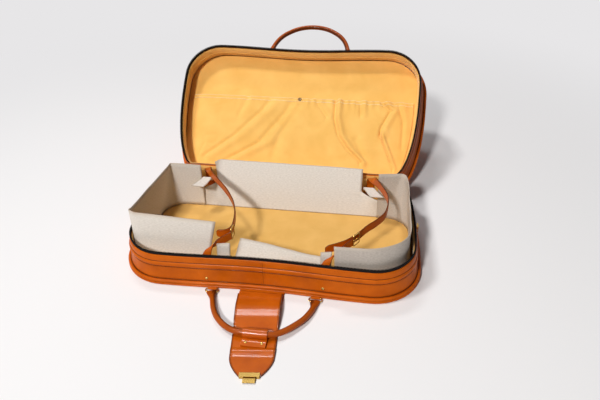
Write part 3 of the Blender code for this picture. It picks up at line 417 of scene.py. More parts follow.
# %% [markdown]
# ## Following the rim
#
# The walls, welts and zips are one profile carried round the rim. In bmesh that is an extrusion
# repeated once per station: the profile's ring of edges is extruded, and the new points are set
# where the next station wants them. A number kept on each point tells which point of the
# profile it is. The last ring is bridged back to the first.

# %% Stations round the rim, and the sweep that follows them
corner_steps = 14
back_corner_steps = 26
front_steps = 40
hinge_end_share = 0.018
same_place = 1e-7


def arc_stations(centre, radius, start, end, steps):
    """Points and outward directions on an arc, angles in degrees."""
    stations = []
    for step in range(steps + 1):
        angle = math.radians(start + (end - start) * step / steps)
        outward = Vector((math.cos(angle), math.sin(angle), 0))
        stations.append((Vector((*centre, 0)) + outward * radius, outward))
    return stations


def back_stations(side):
    """The long corner at the hinge: a quarter ellipse that leaves the side and ends at the hinge.

    Even steps of the ellipse crowd the side, even turns crowd the hinge, so both are averaged.
    """
    stations = []
    stretch = back_corner_length / back_corner_width
    for step in range(back_corner_steps + 1):
        even = math.pi / 2 * step / back_corner_steps
        turning = math.atan2(stretch * math.sin(even), math.cos(even))
        angle = (even + turning) / 2
        across, back = math.cos(angle), math.sin(angle)
        outward = Vector((side * across / back_corner_width, back / back_corner_length, 0)).normalized()
        stations.append((Vector((side * (half_width - back_corner_width * (1 - across)),
                                 half_length - back_corner_length * (1 - back), 0)), outward))
    return stations


def rim_half_width(y):
    """Half the rim's width at a place on the long corners."""
    share = max(0, (y - half_length) / back_corner_length + 1)
    return half_width - back_corner_width * (1 - math.sqrt(max(0, 1 - share ** 2)))


def rim_stations():
    """The whole rim, from the hinge's left end round the front to its right end."""
    front_x = half_width - front_corner_radius
    front_y = half_length - front_corner_radius
    stations = back_stations(-1)[::-1]
    stations += arc_stations((-front_x, -front_y), front_corner_radius, 180, 270, corner_steps)
    for step in range(1, front_steps):
        x = front_x * (2 * step / front_steps - 1)
        stations.append((Vector((x, -half_length + sag(x), 0)), Vector((0, -1, 0))))
    stations += arc_stations((front_x, -front_y), front_corner_radius, 270, 360, corner_steps)
    return stations + back_stations(1)


rim = rim_stations()
hinge_end = half_length - back_corner_length * hinge_end_share
rim_without_back = [station for station in rim if station[0].y < hinge_end]
print("rim stations:", len(rim))


def carry_profile(rings, closed):
    """Skin a list of rings of points by extruding the first ring from one to the next."""
    work = bmesh.new()
    order = work.verts.layers.int.new("order")
    first = [work.verts.new(point) for point in rings[0]]
    for number, vert in enumerate(first):
        vert[order] = number
    edges = [work.edges.new((first[i], first[(i + 1) % len(first)])) for i in range(len(first))]
    start_edges = edges
    for ring in rings[1:]:
        made = bmesh.ops.extrude_edge_only(work, edges=edges)["geom"]
        for vert in (item for item in made if isinstance(item, bmesh.types.BMVert)):
            vert.co = ring[vert[order]]
        edges = [item for item in made
                 if isinstance(item, bmesh.types.BMEdge) and item.is_boundary
                 and all((vert.co - ring[vert[order]]).length < same_place for vert in item.verts)]
    if closed:
        bmesh.ops.bridge_loops(work, edges=start_edges + edges)
    else:
        for loop in (start_edges, edges):
            bmesh.ops.contextual_create(work, geom=loop)
    return work


def sweep(half, label, profile, material, node, stations=None, replaces=True, sharp=40):
    """Carry a profile of (reach outward, height above the outer face) round the rim of a half."""
    rings = [[point + outward * reach + UP * level(half, height) for reach, height in profile]
             for point, outward in stations or rim]
    return finish_half(half, label, carry_profile(rings, stations is None), node, material, replaces,
                       sharp)


def arc_points(centre, radius, start, end, steps):
    """Points of an arc in a profile, angles in degrees."""
    angles = [math.radians(start + (end - start) * step / steps) for step in range(steps + 1)]
    return [(centre[0] + radius * math.cos(angle), centre[1] + radius * math.sin(angle))
            for angle in angles]


# %% [markdown]
# ## The leather wall
#
# Seen from the side a wall is four strips. A wide lower wall leans in from the outer panel, a
# fat padded welt bulges over its top, a narrow band runs above the welt, and a rolled bead of
# piping hides the seam to the panel. The strips are separate pieces of hide, so each is its own
# sweep, with rounded corners in its profile to catch the light as the real edges do.

# %% Wall, welt, band and piping
band_foot_reach = 0.0028
band_top_reach = 0.0010
bead_reach = piping_radius + clearance
wall_hollow = 0.7 * MM
zip_lip = 2.6 * MM
zip_lip_reach = -0.7 * MM


def wall_reach_at(half, height):
    """How far the lower wall stands out at a height; it is drawn in softly at mid height."""
    low, high = half.wall
    shoulder = low + 2 * piping_radius
    share = min(1, max(0, (height - shoulder) / (high - shoulder)))
    straight = half.wall_foot + (band_foot_reach - half.wall_foot) * share
    return straight - wall_hollow * math.sin(math.pi * share)


def hide_of(half):
    """The lid's walls, welt and band take a darker copy of the hide: painted shade."""
    return cognac_lid_shaded if half.is_lid else cognac


def make_wall(half):
    low, high = half.wall
    roll = 0.6 * MM
    profile = [(wall_reach_at(half, low + (high - low) * step / 8), low + (high - low) * step / 8)
               for step in range(8)]
    profile += [(band_foot_reach, high - roll), (band_foot_reach - roll * 0.3, high - roll * 0.3),
                (band_foot_reach - roll, high), (-skin_back_reach, high),
                (half.lining_foot + clearance, low)]
    sweep(half, "wall_hide", profile, hide_of(half), "wall")


def make_welt(half):
    low, high = half.welt
    foot = band_top_reach - 0.4 * MM
    angles = [math.radians(angle) for angle in range(12, 169, 13)]
    bulge = [(foot + (welt_bulge - foot) * math.sin(angle) ** 0.75,
              (low + high) / 2 - (high - low) / 2 * math.cos(angle)) for angle in angles]
    profile = [(-skin_back_reach, low), (foot, low), *bulge, (foot, high), (-skin_back_reach, high)]
    sweep(half, "welt_roll", profile, hide_of(half), "welt")


def make_band(half):
    """The upper band; its lip stands over the foot of the zip's tape."""
    low, top = half.band
    high = top + zip_lip
    roll = 0.5 * MM
    profile = [(-skin_back_reach, low), (band_foot_reach - roll, low), (band_foot_reach, low + roll),
               ((band_foot_reach + band_top_reach) / 2 + 0.2 * MM, (low + high) / 2),
               (band_top_reach, high - roll), (band_top_reach - roll, high),
               (zip_lip_reach, high), (zip_lip_reach, top), (-skin_back_reach, top)]
    sweep(half, "band_hide", profile, hide_of(half), "band")


def make_piping(half):
    centre = (half.flare - bead_reach, panel_thickness + clearance + piping_radius)
    sweep(half, "piping_roll", arc_points(centre, piping_radius, 0, 330, 11), cognac, "piping", sharp=60)


def make_seams(half):
    """Dark cords in the wall's grooves: dark joints, and painted shade; the low one is the welt's painted
    shadow.
    """
    reach = band_foot_reach + 0.1 * MM
    low, high = half.welt
    foot = (half.wall_foot + 0.15 * MM, half.wall[0] + 2 * piping_radius)
    for label, centre, radius in (("low", (reach, low - 0.1 * MM), 0.95 * MM),
                                  ("high", (reach, high + 0.1 * MM), 0.50 * MM),
                                  ("foot", foot, 0.60 * MM)):
        sweep(half, "seam_" + label, arc_points(centre, radius, 0, 315, 7), seam_and_shade_paint, "wall",
              replaces=False, sharp=80)


for half in HALVES:
    for make in (make_wall, make_welt, make_band, make_piping, make_seams):
        make(half)
print("wall strips:", len(made_pieces))

# %% [markdown]
# ## The outer panels
#
# The panel is a flat slab of covered board in the rim's shape. It starts as one flat face made
# from the rim's points, is extruded to its thickness and gets a rolled edge with Bevel. Shallow
# seats take the ends of the straps that are sewn to it, and a Boolean cuts them.

# %% Panel with a rolled edge
chape_width = 0.018
chape_length = 0.026
ring_length = 0.0088
flap_width = 0.091
flap_root_length = 0.030
flap_thickness = 0.0030
panel_sharp = 50


def roll_edges(work, edges, roll, segments):
    """Round edges off with Bevel."""
    bmesh.ops.bevel(work, geom=edges, offset=roll, segments=segments, profile=0.5, affect="EDGES",
                    material=-1)


def rim_slab(half, grow, low, high, roll):
    """A slab in the rim's shape between two heights, with rolled edges."""
    work = bmesh.new()
    foot, top = level(half, low), level(half, high)
    face = work.faces.new([work.verts.new(point + outward * grow + UP * foot)
                           for point, outward in rim])
    made = bmesh.ops.extrude_face_region(work, geom=[face])["geom"]
    bmesh.ops.translate(work, vec=UP * (top - foot),
                        verts=[item for item in made if isinstance(item, bmesh.types.BMVert)])
    bmesh.ops.recalc_face_normals(work, faces=work.faces)
    border = [edge for edge in work.edges if abs(edge.verts[0].co.z - edge.verts[1].co.z) < roll]
    roll_edges(work, border, roll, 4)
    return work


def box(low, high):
    """A box between two corners."""
    work = bmesh.new()
    low, high = Vector(low), Vector(high)
    bmesh.ops.create_cube(work, size=1, matrix=Matrix.Translation((low + high) / 2)
                          @ Matrix.Diagonal((*(high - low), 1)))
    return work


def cut_box(piece, low, high):
    """Cut a box out of a piece with a Boolean, and apply it."""
    cutter = bpy.data.objects.new("seat", mesh_of("seat", box(low, high)))
    bpy.context.scene.collection.objects.link(cutter)
    change = piece.modifiers.new("seat", "BOOLEAN")
    change.object = cutter
    change.operation = "DIFFERENCE"
    bpy.context.view_layer.update()
    graph = bpy.context.evaluated_depsgraph_get()
    piece.data = bpy.data.meshes.new_from_object(piece.evaluated_get(graph))
    piece.modifiers.clear()
    bpy.data.objects.remove(cutter, do_unlink=True)


def make_panel(half):
    """The big outer face of one half, drawn in the closed case and then opened."""
    work = rim_slab(half, half.flare, 0, panel_thickness, panel_edge_radius - 0.1 * MM)
    panel = finish(half.name + "_panel_hide", work, half.name, half.name + "_panel", cognac, True,
                   sharp=panel_sharp)
    axis_y = ring_axis_y(half)
    seats = [(handle_centre_x + side * ring_spread, chape_width, chape_length,
              ring_axis_height + 0.5 * MM) for side in (-1, 1)]
    if not half.is_lid:
        seats.append((0, flap_width, flap_root_length, flap_thickness + 2 * clearance))
    for x, width, length, depth in seats:
        low, high = sorted((level(half, -panel_thickness), level(half, depth)))
        cut_box(panel, (x - width / 2 - clearance, axis_y - ring_length, low),
                (x + width / 2 + clearance, axis_y + length + clearance, high))
    panel.data.transform(place_of(half))
    panel.data.shade_smooth()
    panel.data.set_sharp_from_angle(angle=math.radians(panel_sharp))


for half in HALVES:
    make_panel(half)
print("panels:", [piece.name for piece in made_pieces[-2:]])

# %% [markdown]
# ## The zip
#
# A moulded zip is a woven tape with a row of small blocks along its edge. The tape is a sweep
# that stops short of the hinge. One tooth is modelled once, and the same tooth is set down at an
# even pitch along the rim, so its few faces are repeated many times cheaply.

# %% Walking along the rim at an even pitch
def walk(stations, pitch, grow):
    """Points, directions and outward normals at an even pitch along a run of stations."""
    places = []
    points = [point + outward * grow for point, outward in stations]
    travelled, target = 0.0, 0.0
    for number in range(len(points) - 1):
        run = points[number + 1] - points[number]
        while target <= travelled + run.length:
            share = (target - travelled) / run.length
            outward = stations[number][1].lerp(stations[number + 1][1], share).normalized()
            places.append((points[number].lerp(points[number + 1], share), run.normalized(), outward))
            target += pitch
        travelled += run.length
    return places


def frame_at(point, along, outward):
    """A matrix whose X runs along the seam and whose Y points outward."""
    up = along.cross(outward).normalized()
    outward = up.cross(along).normalized()
    turn = Matrix((along, outward, up)).transposed().to_4x4()
    return Matrix.Translation(point) @ turn


def repeat(template, matrices):
    """One bmesh that holds a copy of a template mesh at each matrix."""
    work = bmesh.new()
    for matrix in matrices:
        before = len(work.verts)
        work.from_mesh(template)
        work.verts.ensure_lookup_table()
        for vert in work.verts[before:]:
            vert.co = matrix @ vert.co
    return work


def rim_copies(half, template, stations, pitch, reach, height):
    """Copies of a template at an even pitch round one half, and how many there are."""
    rise = UP * level(half, height)
    matrices = [frame_at(point + rise, along, outward)
                for point, along, outward in walk(stations, pitch, reach)]
    return repeat(template, matrices), len(matrices)


# %% Tape and teeth
teeth_height = 0.0032
teeth_outer = 0.0004
teeth_width = 0.0034
tooth_pitch = 0.0027
tooth_length = tooth_pitch * 0.62
tooth_roll = 0.35 * MM
tape_outer = -0.0010
tape_inner = tape_outer - 1.2 * MM


def tooth_template():
    """A moulded tooth: a block with softened corners."""
    corner = Vector((tooth_length, teeth_width, teeth_height)) / 2
    work = box(-corner, corner)
    roll_edges(work, list(work.edges), tooth_roll, 1)
    return mesh_of("tooth", work)


def make_zip(half):
    top = half.depth - clearance / 2
    foot = half.depth - zip_height
    tape_top = top - teeth_height * 0.55
    profile = [(tape_inner, foot), (tape_outer - 0.2 * MM, foot), (tape_outer, foot + 0.2 * MM),
               (tape_outer, tape_top), (tape_inner, tape_top)]
    sweep(half, "zip_cloth", profile, black_tape, "zip_tape", stations=rim_without_back)
    work, count = rim_copies(half, tooth_template(), rim_without_back, tooth_pitch,
                             teeth_outer - teeth_width / 2, top - teeth_height / 2)
    finish_half(half, "zip_teeth", work, "zip_tape", black_teeth)
    return count


print("teeth on each half:", [make_zip(half) for half in HALVES])

# %% [markdown]
# ## Stitching
#
# Thread is what makes leather read as sewn. A stitch is a tiny squashed ball, longer along the
# seam, half sunk in the hide. A few rows follow the rim: one under the zip, one along the top of
# the lower wall and one just above the piping.

# %% A stitch, and rows of it round the rim
stitch_length = 0.0023
stitch_pitch = 0.0033
stitch_width = 0.0007
stitch_sight = 0.5 * MM

work = bmesh.new()
bmesh.ops.create_icosphere(work, subdivisions=1, radius=0.5,
                           matrix=Matrix.Diagonal((stitch_length, stitch_width, stitch_width, 1)))
stitch = mesh_of("stitch", work)


def stitch_on(path, place, step, outward):
    """A stitch's matrix on a path, headed for the path's point one step further on."""
    here = path(place)
    return frame_at(here, (path(place + step) - here).normalized(), outward)


def rim_stitches(half, label, reach, height, node, material=thread, stations=rim + rim[:1]):
    """A row of stitches round one half at a reach and a height."""
    work, count = rim_copies(half, stitch, stations, stitch_pitch, reach, height)
    finish_half(half, label, work, node, material)


for half in HALVES:
    rim_stitches(half, "band_stitches", band_top_reach + 0.30 * MM, half.band[1] - 0.6 * MM,
                 "band", stations=rim_without_back)
    low, high = half.wall
    for label, seam in (("top", high - 2.4 * MM), ("foot", low + 2 * piping_radius + 1.8 * MM)):
        rim_stitches(half, f"wall_{label}_stitches", wall_reach_at(half, seam) + 0.1 * MM, seam, "wall")
print("pieces so far:", len(made_pieces))

# %% The butt seam in the middle of the front wall
seam_line_x = 0.0010
seam_rows_x = (-0.0029, 0.0048)
seam_line_radius = 0.4 * MM


def front_wall_point(x, height):
    """A point on the outer face of the base's front wall."""
    low, high = BASE.welt
    if height < BASE.wall[1]:
        reach = wall_reach_at(BASE, height)
    elif height < high:
        bulge = math.sqrt(max(0, 1 - ((height - (low + high) / 2) / (welt_height / 2)) ** 2))
        reach = band_top_reach + (welt_bulge - band_top_reach) * bulge
    else:
        reach = band_foot_reach - 0.3 * MM
    return Vector((x, -half_length - reach + sag(x), height))


def ellipse_ring(centre, across, normal, wide, thick, sides=8):
    """Points of an ellipse round a centre, along two directions."""
    angles = [2 * math.pi * k / sides for k in range(sides)]
    return [centre + across * wide * math.cos(angle) + normal * thick * math.sin(angle)
            for angle in angles]


def centre_seam():
    """Two upright rows of stitches, and the thin dark line where the two hides meet."""
    start = BASE.wall[0] + 2 * piping_radius + 1.5 * MM
    end = BASE.band[1] + 1.0 * MM
    steps = round((end - start) / stitch_pitch) * 3
    heights = [start + (end - start) * step / steps for step in range(steps)]
    matrices = [stitch_on(lambda height: front_wall_point(x, height), height, stitch_sight, -BACK)
                for height in heights[::3] for x in seam_rows_x]
    finish("centre_seam_stitches", repeat(stitch, matrices), "base", "base_wall", thread)
    rings = [ellipse_ring(front_wall_point(seam_line_x, height), ACROSS, BACK, seam_line_radius,
                          seam_line_radius) for height in heights]
    finish("centre_seam_line", carry_profile(rings, False), "base", "base_wall", seam_and_shade_paint)


centre_seam()

# %% [markdown]
# ## The lining
#
# Golden suede cloth covers the inside. The wall lining is a sweep with a soft turned-in edge at
# the zip. The floor lining is a padded panel, so it is a slab with a generous rolled edge, and a
# thin welt of the same cloth closes the corner between them. The lid's wall lining, the welts and
# the base's floor lining take darker copies of the cloth as painted shade.

# %% Wall lining, floor lining and corner welt
floor_lining_thickness = 0.0018
lid_padding = 0.0165
hinge_cloth_overlap = 0.006


def floor_top():
    return panel_thickness + clearance + floor_lining_thickness


def padded_top(half):
    """Top of the floor lining; the lid's is quilted over a thicker pad."""
    return floor_top() + (lid_padding if half.is_lid else 0)


def make_lining(half):
    low, waist = half.wall
    top = half.band[1]
    back = skin_back_reach + clearance
    face = back + lining_thickness
    foot = half.lining_foot
    inner_foot = foot - lining_thickness
    roll = 0.8 * MM
    profile = [(foot, low), (-back, waist), (-back, top - roll), (-back - roll * 0.4, top),
               (-face + roll * 0.4, top), (-face, top - roll), (-face - 0.2 * MM, (top + waist) / 2),
               (-face, waist), (inner_foot, low)]
    # The lid's wall lining takes a darker copy of the cloth: painted shade.
    sweep(half, "wall_cloth", profile, shaded_wall_suede if half.is_lid else gold_suede, "wall_lining")
    if half.is_lid:
        drawn_in = (foot + back) * (padded_top(half) - low) / (waist - low) * 1.15
        roll, cloth = 1.2 * MM, gold_suede
        bead = arc_points((-face + 0.2 * MM, waist + 3.0 * MM), 1.2 * MM, 0, 315, 7)
    else:
        drawn_in = 0
        # The base's floor lining takes the darkest copy of the cloth: painted shade.
        roll, cloth = 0.7 * MM, shaded_floor_suede
        bead = arc_points((inner_foot - 2 * clearance - 1.2 * MM, floor_top() + 0.5 * MM), 1.1 * MM,
                          0, 315, 7)
    work = rim_slab(half, inner_foot - 2 * clearance - drawn_in, low, padded_top(half), roll)
    finish_half(half, "floor_cloth", work, "floor_lining", cloth, True)
    # The corner welt takes a darker copy of the cloth: painted shade in the corner.
    sweep(half, "floor_welt", bead, shaded_wall_suede, "floor_lining", replaces=False, sharp=70)
    rim_stitches(half, "lining_stitches", -face - 0.15 * MM, top - 3.2 * MM, "wall_lining", gold_thread_and_highlight)


def hinge_cloth(half):
    """Lining cloth over the inner side of the hinge strip."""
    levels = sorted((level(half, half.depth - zip_height + clearance),
                     level(half, half.depth - 0.6 * MM)))
    inner = half_length - skin_back_reach - 0.9 * MM
    reach = half_width - back_corner_width + hinge_cloth_overlap
    work = box((-reach, inner - 0.4 * MM, levels[0]), (reach, inner + 0.4 * MM, levels[1]))
    roll_edges(work, list(work.edges), 0.3 * MM, 2)
    finish_half(half, "hinge_cloth", work, "wall_lining", gold_suede)


for half in HALVES:
    make_lining(half)
    hinge_cloth(half)
print("pieces so far:", len(made_pieces))

# %% [markdown]
# ## Sheets that bend
#
# Board, straps, flap and pocket are all sheets. Each starts as a flat grid, and a function puts
# every grid point where it belongs in space. The grid keeps its UVs in metres, so weave and grain
# stay the right size, and an attribute marks how near a point is to a cut edge. Solidify then
# gives the sheet its thickness.

# %% The sheet helper
cut_edge_width = 0.36 * MM


def smooth_route(points, steps):
    """A Catmull-Rom curve through points, with steps pieces between each pair."""
    stations = [Vector(point) for point in points]
    ends = [2 * stations[0] - stations[1], *stations, 2 * stations[-1] - stations[-2]]
    route = []
    for before, start, end, after in zip(ends, ends[1:], ends[2:], ends[3:]):
        for step in range(steps):
            t = step / steps
            route.append(0.5 * (2 * start + (end - before) * t
                                + (2 * before - 5 * start + 4 * end - after) * t ** 2
                                + (3 * start - before - 3 * end + after) * t ** 3))
    route.append(stations[-1])
    return route


def along(route, share):
    """The point a share of the way along a list of points."""
    place = min(1, max(0, share)) * (len(route) - 1)
    index = min(int(place), len(route) - 2)
    return route[index].lerp(route[index + 1], place - index)


def distances(points):
    """How far along a line of points each of them lies."""
    made = [0.0]
    for start, end in zip(points, points[1:]):
        made.append(made[-1] + (end - start).length)
    return made


def spread(count, rim_share):
    """Shares from 0 to 1 for a sheet's grid; a rim share sets an extra line close to each edge."""
    if not rim_share:
        return [step / count for step in range(count + 1)]
    inner = [rim_share + (1 - 2 * rim_share) * step / (count - 2) for step in range(count - 1)]
    return [0.0, *inner, 1.0]


def sheet(name, place, columns, rows, width, length, thickness, body, slot, material,
          replaces=True, rim_shares=(0, 0), smooth=False, matrix=None, sharp=60):
    """A solid sheet whose grid points place(u, v) puts in space."""
    work = bmesh.new()
    uv_layer = work.loops.layers.uv.verify()
    bmesh.ops.create_grid(work, x_segments=columns, y_segments=rows, size=1, calc_uvs=True)
    edge = work.verts.layers.float.new("edge")
    across, down = spread(columns, rim_shares[0]), spread(rows, rim_shares[1])
    shares = {vert: (across[round((vert.co.x + 1) / 2 * columns)],
                     down[round((vert.co.y + 1) / 2 * rows)]) for vert in work.verts}
    for face in work.faces:
        for loop in face.loops:
            u, v = shares[loop.vert]
            loop[uv_layer].uv = (u * width, v * length)
    for vert, (u, v) in shares.items():
        vert.co = place(u, v)
        gap = min(u * width, (1 - u) * width, v * length, (1 - v) * length)
        vert[edge] = 1.0 if gap < cut_edge_width else 0.0
    made = finish(name, work, body, slot, material, replaces, matrix, sharp, recalculate=False)
    wall = made.modifiers.new("thickness", "SOLIDIFY")
    wall.thickness = thickness
    wall.offset = 0
    if smooth:
        change = made.modifiers.new("smooth", "SUBSURF")
        change.levels = change.render_levels = 1
    return made


# %% [markdown]
# ## The board liner
#
# A loose liner of linen-faced board stands in the base. Its left and right ends are single strips
# folded round the corners: the foot follows the rounded floor while the top keeps a sharp fold,
# so each corner is part of a cone. The two long sides are separate flaps. The back one leans over
# the hinge, and the front one has been pushed in.

# %% Liner lines
board_thickness = 0.0012
board_height = 0.112
board_side_inset = 0.0115
board_front_inset = 0.019
board_back_inset = 0.075
board_corner_radius = 0.052
board_lean = 0.043
board_mid_lean = 0.058
board_layer_gap = 0.0020
board_side = half_width - board_side_inset
board_front = -half_length + board_front_inset
board_back = half_length - board_back_inset
board_foot = floor_top() + clearance + board_thickness / 4
board_wave_scale = Vector((14, 14, 9))
board_wave_out = 0.12
board_top = board_foot + board_height


def board(name, place, columns, rows, width, length, node, sharp=60, material=grey_board,
          replaces=True):
    """A sheet of linen board that stands in the base."""
    sheet(name, place, columns, rows, width, length, board_thickness, "base", node, material,
          replaces, sharp=sharp)


def even_line(points, count):
    """Points at an even spacing along a line of points."""
    line = [Vector(point) for point in points]
    lengths = distances(line)
    made = []
    for step in range(count + 1):
        target = lengths[-1] * step / count
        index = max(i for i in range(len(line) - 1) if lengths[i] <= target + 1e-9)
        share = (target - lengths[index]) / (lengths[index + 1] - lengths[index])
        made.append(line[index].lerp(line[index + 1], min(1, share)))
    return made


def matched_line(parts, counts):
    """One line through parts that follow each other, each cut into its own number of runs."""
    line = []
    for part, count in zip(parts, counts):
        line += even_line(part, count)[:-1]
    return line + [Vector(parts[-1][-1])]


def flat_arc(centre, radius, start, end, steps, height):
    """Points of an arc on a level."""
    return [(x, y, height) for x, y in arc_points(centre, radius, start, end, steps)]


def board_strip(node, foot_parts, top_parts, counts, wave, seed, material):
    """A strip of board between a foot line and a top line, a little uneven."""
    foot, top = matched_line(foot_parts, counts), matched_line(top_parts, counts)

    def place(u, v):
        point = along(foot, u).lerp(along(top, u), v)
        ahead = along(foot, min(1, u + 0.02)) - along(foot, max(0, u - 0.02))
        inward = Vector((ahead.y, -ahead.x, 0)).normalized()
        sway = noise.noise(point * board_wave_scale + UP * seed)
        return point + inward * (wave * max(-board_wave_out, sway) * v)
    board(node + "_board", place, len(foot) - 1, 12, distances(foot)[-1], board_height, node, 50,
          material)


# %% Left end of the liner
free_x = -board_side * 0.345
notch_x = -board_side * 0.675
front_left = (-board_side + board_corner_radius, board_front + board_corner_radius)
back_left = (-board_side + board_corner_radius, board_back - board_corner_radius)
foot_parts = [
    [(free_x * 1.25, board_front, board_foot), (front_left[0], board_front, board_foot)],
    flat_arc(front_left, board_corner_radius, 270, 180, 12, board_foot),
    [(-board_side, front_left[1], board_foot), (-board_side, back_left[1], board_foot)],
    flat_arc(back_left, board_corner_radius, 180, 90, 12, board_foot),
    [(back_left[0], board_back, board_foot), (notch_x, board_back, board_foot)]]
lean_top = board_top - board_lean ** 2 / board_height / 2
fold_top = (lean_top + board_top) / 2
corner_rise = 0.0130


def left_point(x_share, y, z):
    """A point of the left end's top; its X is a share of the corner radius in from the side."""
    return -board_side + board_corner_radius * x_share, y, z


front_fold = [
    left_point(0.23, board_front + board_lean * 0.965, fold_top - board_thickness + corner_rise * 0.75),
    left_point(0, board_front + board_lean * 1.04, fold_top + corner_rise),
    left_point(0.02, board_front + board_lean * 0.98 + board_corner_radius * 0.23,
               fold_top + corner_rise * 0.8)]
rear_fold = [left_point(x_share, board_back + board_corner_radius * y_share, board_top)
             for x_share, y_share in ((0.36, -0.15), (0.38, 0.08), (0.54, 0.10))]
top_parts = [
    [(free_x * 1.03, board_front + board_lean * 0.90, lean_top + corner_rise * 0.5), front_fold[0]],
    front_fold,
    [front_fold[-1], left_point(0.15, 0, board_top), rear_fold[0]],
    rear_fold,
    [rear_fold[-1], (notch_x, board_back + board_thickness * 3, board_top)]]
board_strip("liner_left", foot_parts, top_parts, (24, 12, 20, 12, 12), 2.4 * MM, 3.1, grey_board)
print("left end:", len(made_pieces[-1].data.vertices), "points")

# %% Right end of the liner
notch_right = board_side * 0.745
free_right = board_side * 0.50
back_right = (board_side - board_corner_radius, board_back - board_corner_radius)
front_radius = board_corner_radius * 1.45
front_right = (board_side - front_radius, board_front + front_radius)
foot_parts = [
    [(notch_right, board_back, board_foot), (back_right[0], board_back, board_foot)],
    flat_arc(back_right, board_corner_radius, 90, 0, 12, board_foot),
    [(board_side, back_right[1], board_foot), (board_side, front_right[1], board_foot)],
    flat_arc(front_right, front_radius, 0, -90, 18, board_foot),
    [(front_right[0], board_front, board_foot), (free_right, board_front, board_foot)]]
right_fold = [(board_side - 0.0215, board_back + 0.0200, board_top),
              (board_side - 0.0140, board_back + 0.0150, board_top),
              (board_side - 0.0100, board_back + 0.0020, board_top)]
lean_out = 0.0085
top_arc = [(x, y - lean_out * step / 18, z) for step, (x, y, z) in
           enumerate(flat_arc(front_right, front_radius, 0, -90, 18, board_top))]
top_parts = [
    [(notch_right, board_back + 0.011, board_top), right_fold[0]],
    right_fold,
    [right_fold[-1], (board_side - 0.001, -0.02, board_top), top_arc[0]],
    top_arc,
    [top_arc[-1], (free_right * 0.985, board_front - lean_out, board_top - 1.5 * MM)]]
# The right end takes the darker copy of the board, as painted shade.
board_strip("liner_right", foot_parts, top_parts, (10, 12, 16, 20, 12), 6.5 * MM, 7.7, grey_board_shaded)
print("right end:", len(made_pieces[-1].data.vertices), "points")


# %% Back and front flaps of the liner
def make_back_flap():
    """The back side: below its notches it reaches behind the two folded ends."""
    rise = math.sqrt(board_height ** 2 - board_mid_lean ** 2)
    left, right = -board_side * 0.575, board_side * 0.615
    low_left, low_right = -board_side * 0.735, board_side * 0.800
    notch_share = 0.46
    notch_steepness = 5
    corner_slide = 0.009
    belly_depth = board_thickness * 5
    wave_depth = 1.6 * MM

    def place(u, v):
        notch = math.sqrt(min(1, max(0, v / notch_share - 1) * notch_steepness))
        start = low_left + (left - low_left) * notch
        end = low_right + (right - low_right) * notch
        x = start + (end - start) * u - corner_slide * v ** 3 * max(0, 1 - 3 * u)
        beyond = max(0, (left - x) / (left - low_left), (x - right) / (low_right - right))
        shown = 1 - min(1, beyond * 1.4)
        lean = board_mid_lean * (1 - 0.05 * u) * (0.15 + 0.85 * shown)
        wave = noise.noise(Vector((x * 9, v * 2.2, 4.5))) * shown
        belly = -belly_depth * math.sin(math.pi * v) * shown
        return Vector((x, board_back + board_layer_gap + lean * v + belly + wave * v * wave_depth,
                       board_foot + rise * (1 - 0.02 * u) * v))
    board("liner_back_board", place, 60, 40, right - left, board_height, "liner_back")


def make_front_flap():
    """The front side: low, and pushed in over the floor."""
    left, right = -board_side * 0.255, board_side * 0.365
    top_slide = 0.017
    ripple_depth = board_thickness * 2
    crumple_depth = 2.2 * MM

    def place(u, v):
        x = left + (right - left) * u
        inward = board_lean * (1.05 - 0.55 * u) * v ** 1.5
        ripple = ripple_depth * math.sin(2 * math.pi * u) * v
        crumple = noise.noise(Vector((x * 22, v * 3.0, 1.3))) * crumple_depth * v
        return Vector((x + top_slide * v, board_front + inward + ripple + crumple,
                       board_foot + board_height * (0.60 - 0.10 * u) * v))
    board("liner_front_board", place, 36, 14, right - left, board_height * 0.6, "liner_front")


def make_tab(node, left, right, left_corner, right_corner):
    """The folded end of a strip in a back notch, between its crease and its free corners."""
    crease = board_foot + board_height * 0.72
    turn_share = 0.16
    turn_drop = 0.008
    hollow_depth = 1.5 * MM
    back = board_back + board_thickness * 2

    def place(u, v):
        x = left + (right - left) * u
        if v <= turn_share:
            return Vector((x, back, crease - turn_drop * (1 - v / turn_share)))
        share = (v - turn_share) / (1 - turn_share)
        free = Vector(left_corner).lerp(Vector(right_corner), u)
        return Vector((x + (free.x - x) * share, back + (free.y - back) * share,
                       crease - board_thickness * 3 * share - hollow_depth * math.sin(math.pi * share)))
    board(node + "_board", place, 8, 20, right - left, board_height * 0.35, node, 30)


def small_strip(side_name, place_x, width, height, lean):
    """A short loose strip that stands in a front notch."""
    top_slide = 0.002
    top_slope = 0.004

    def place(u, v):
        return Vector((place_x + width * (u - 0.5) + top_slide * v, board_front + lean * v ** 1.4,
                       board_foot + height * v + top_slope * u * v))
    board(f"liner_notch_{side_name}_board", place, 8, 12, width, height, "liner_front", 50,
          replaces=False)


make_back_flap()
make_front_flap()
make_tab("liner_tab_left", -board_side * 0.665, -board_side * 0.590, (-0.2110, 0.0585),
         (-0.1810, 0.0560))
make_tab("liner_tab_right", board_side * 0.630, board_side * 0.712, (0.1990, 0.0610),
         (0.2310, 0.0620))
small_strip("left", -0.0840, 0.028, 0.078, 0.010)
small_strip("right", 0.1240, 0.022, 0.082, 0.004)
print("pieces so far:", len(made_pieces))

# %% [markdown]
# ## The inner straps
#
# Two straps cross the base. Each is a ribbon whose width starts flat against a wall and turns
# upright as it leaves it, so every station carries a lean as well as a place. The stations are
# shares of the case's own sizes. Cut edges are painted darker, and a row of stitches runs along
# both sides.

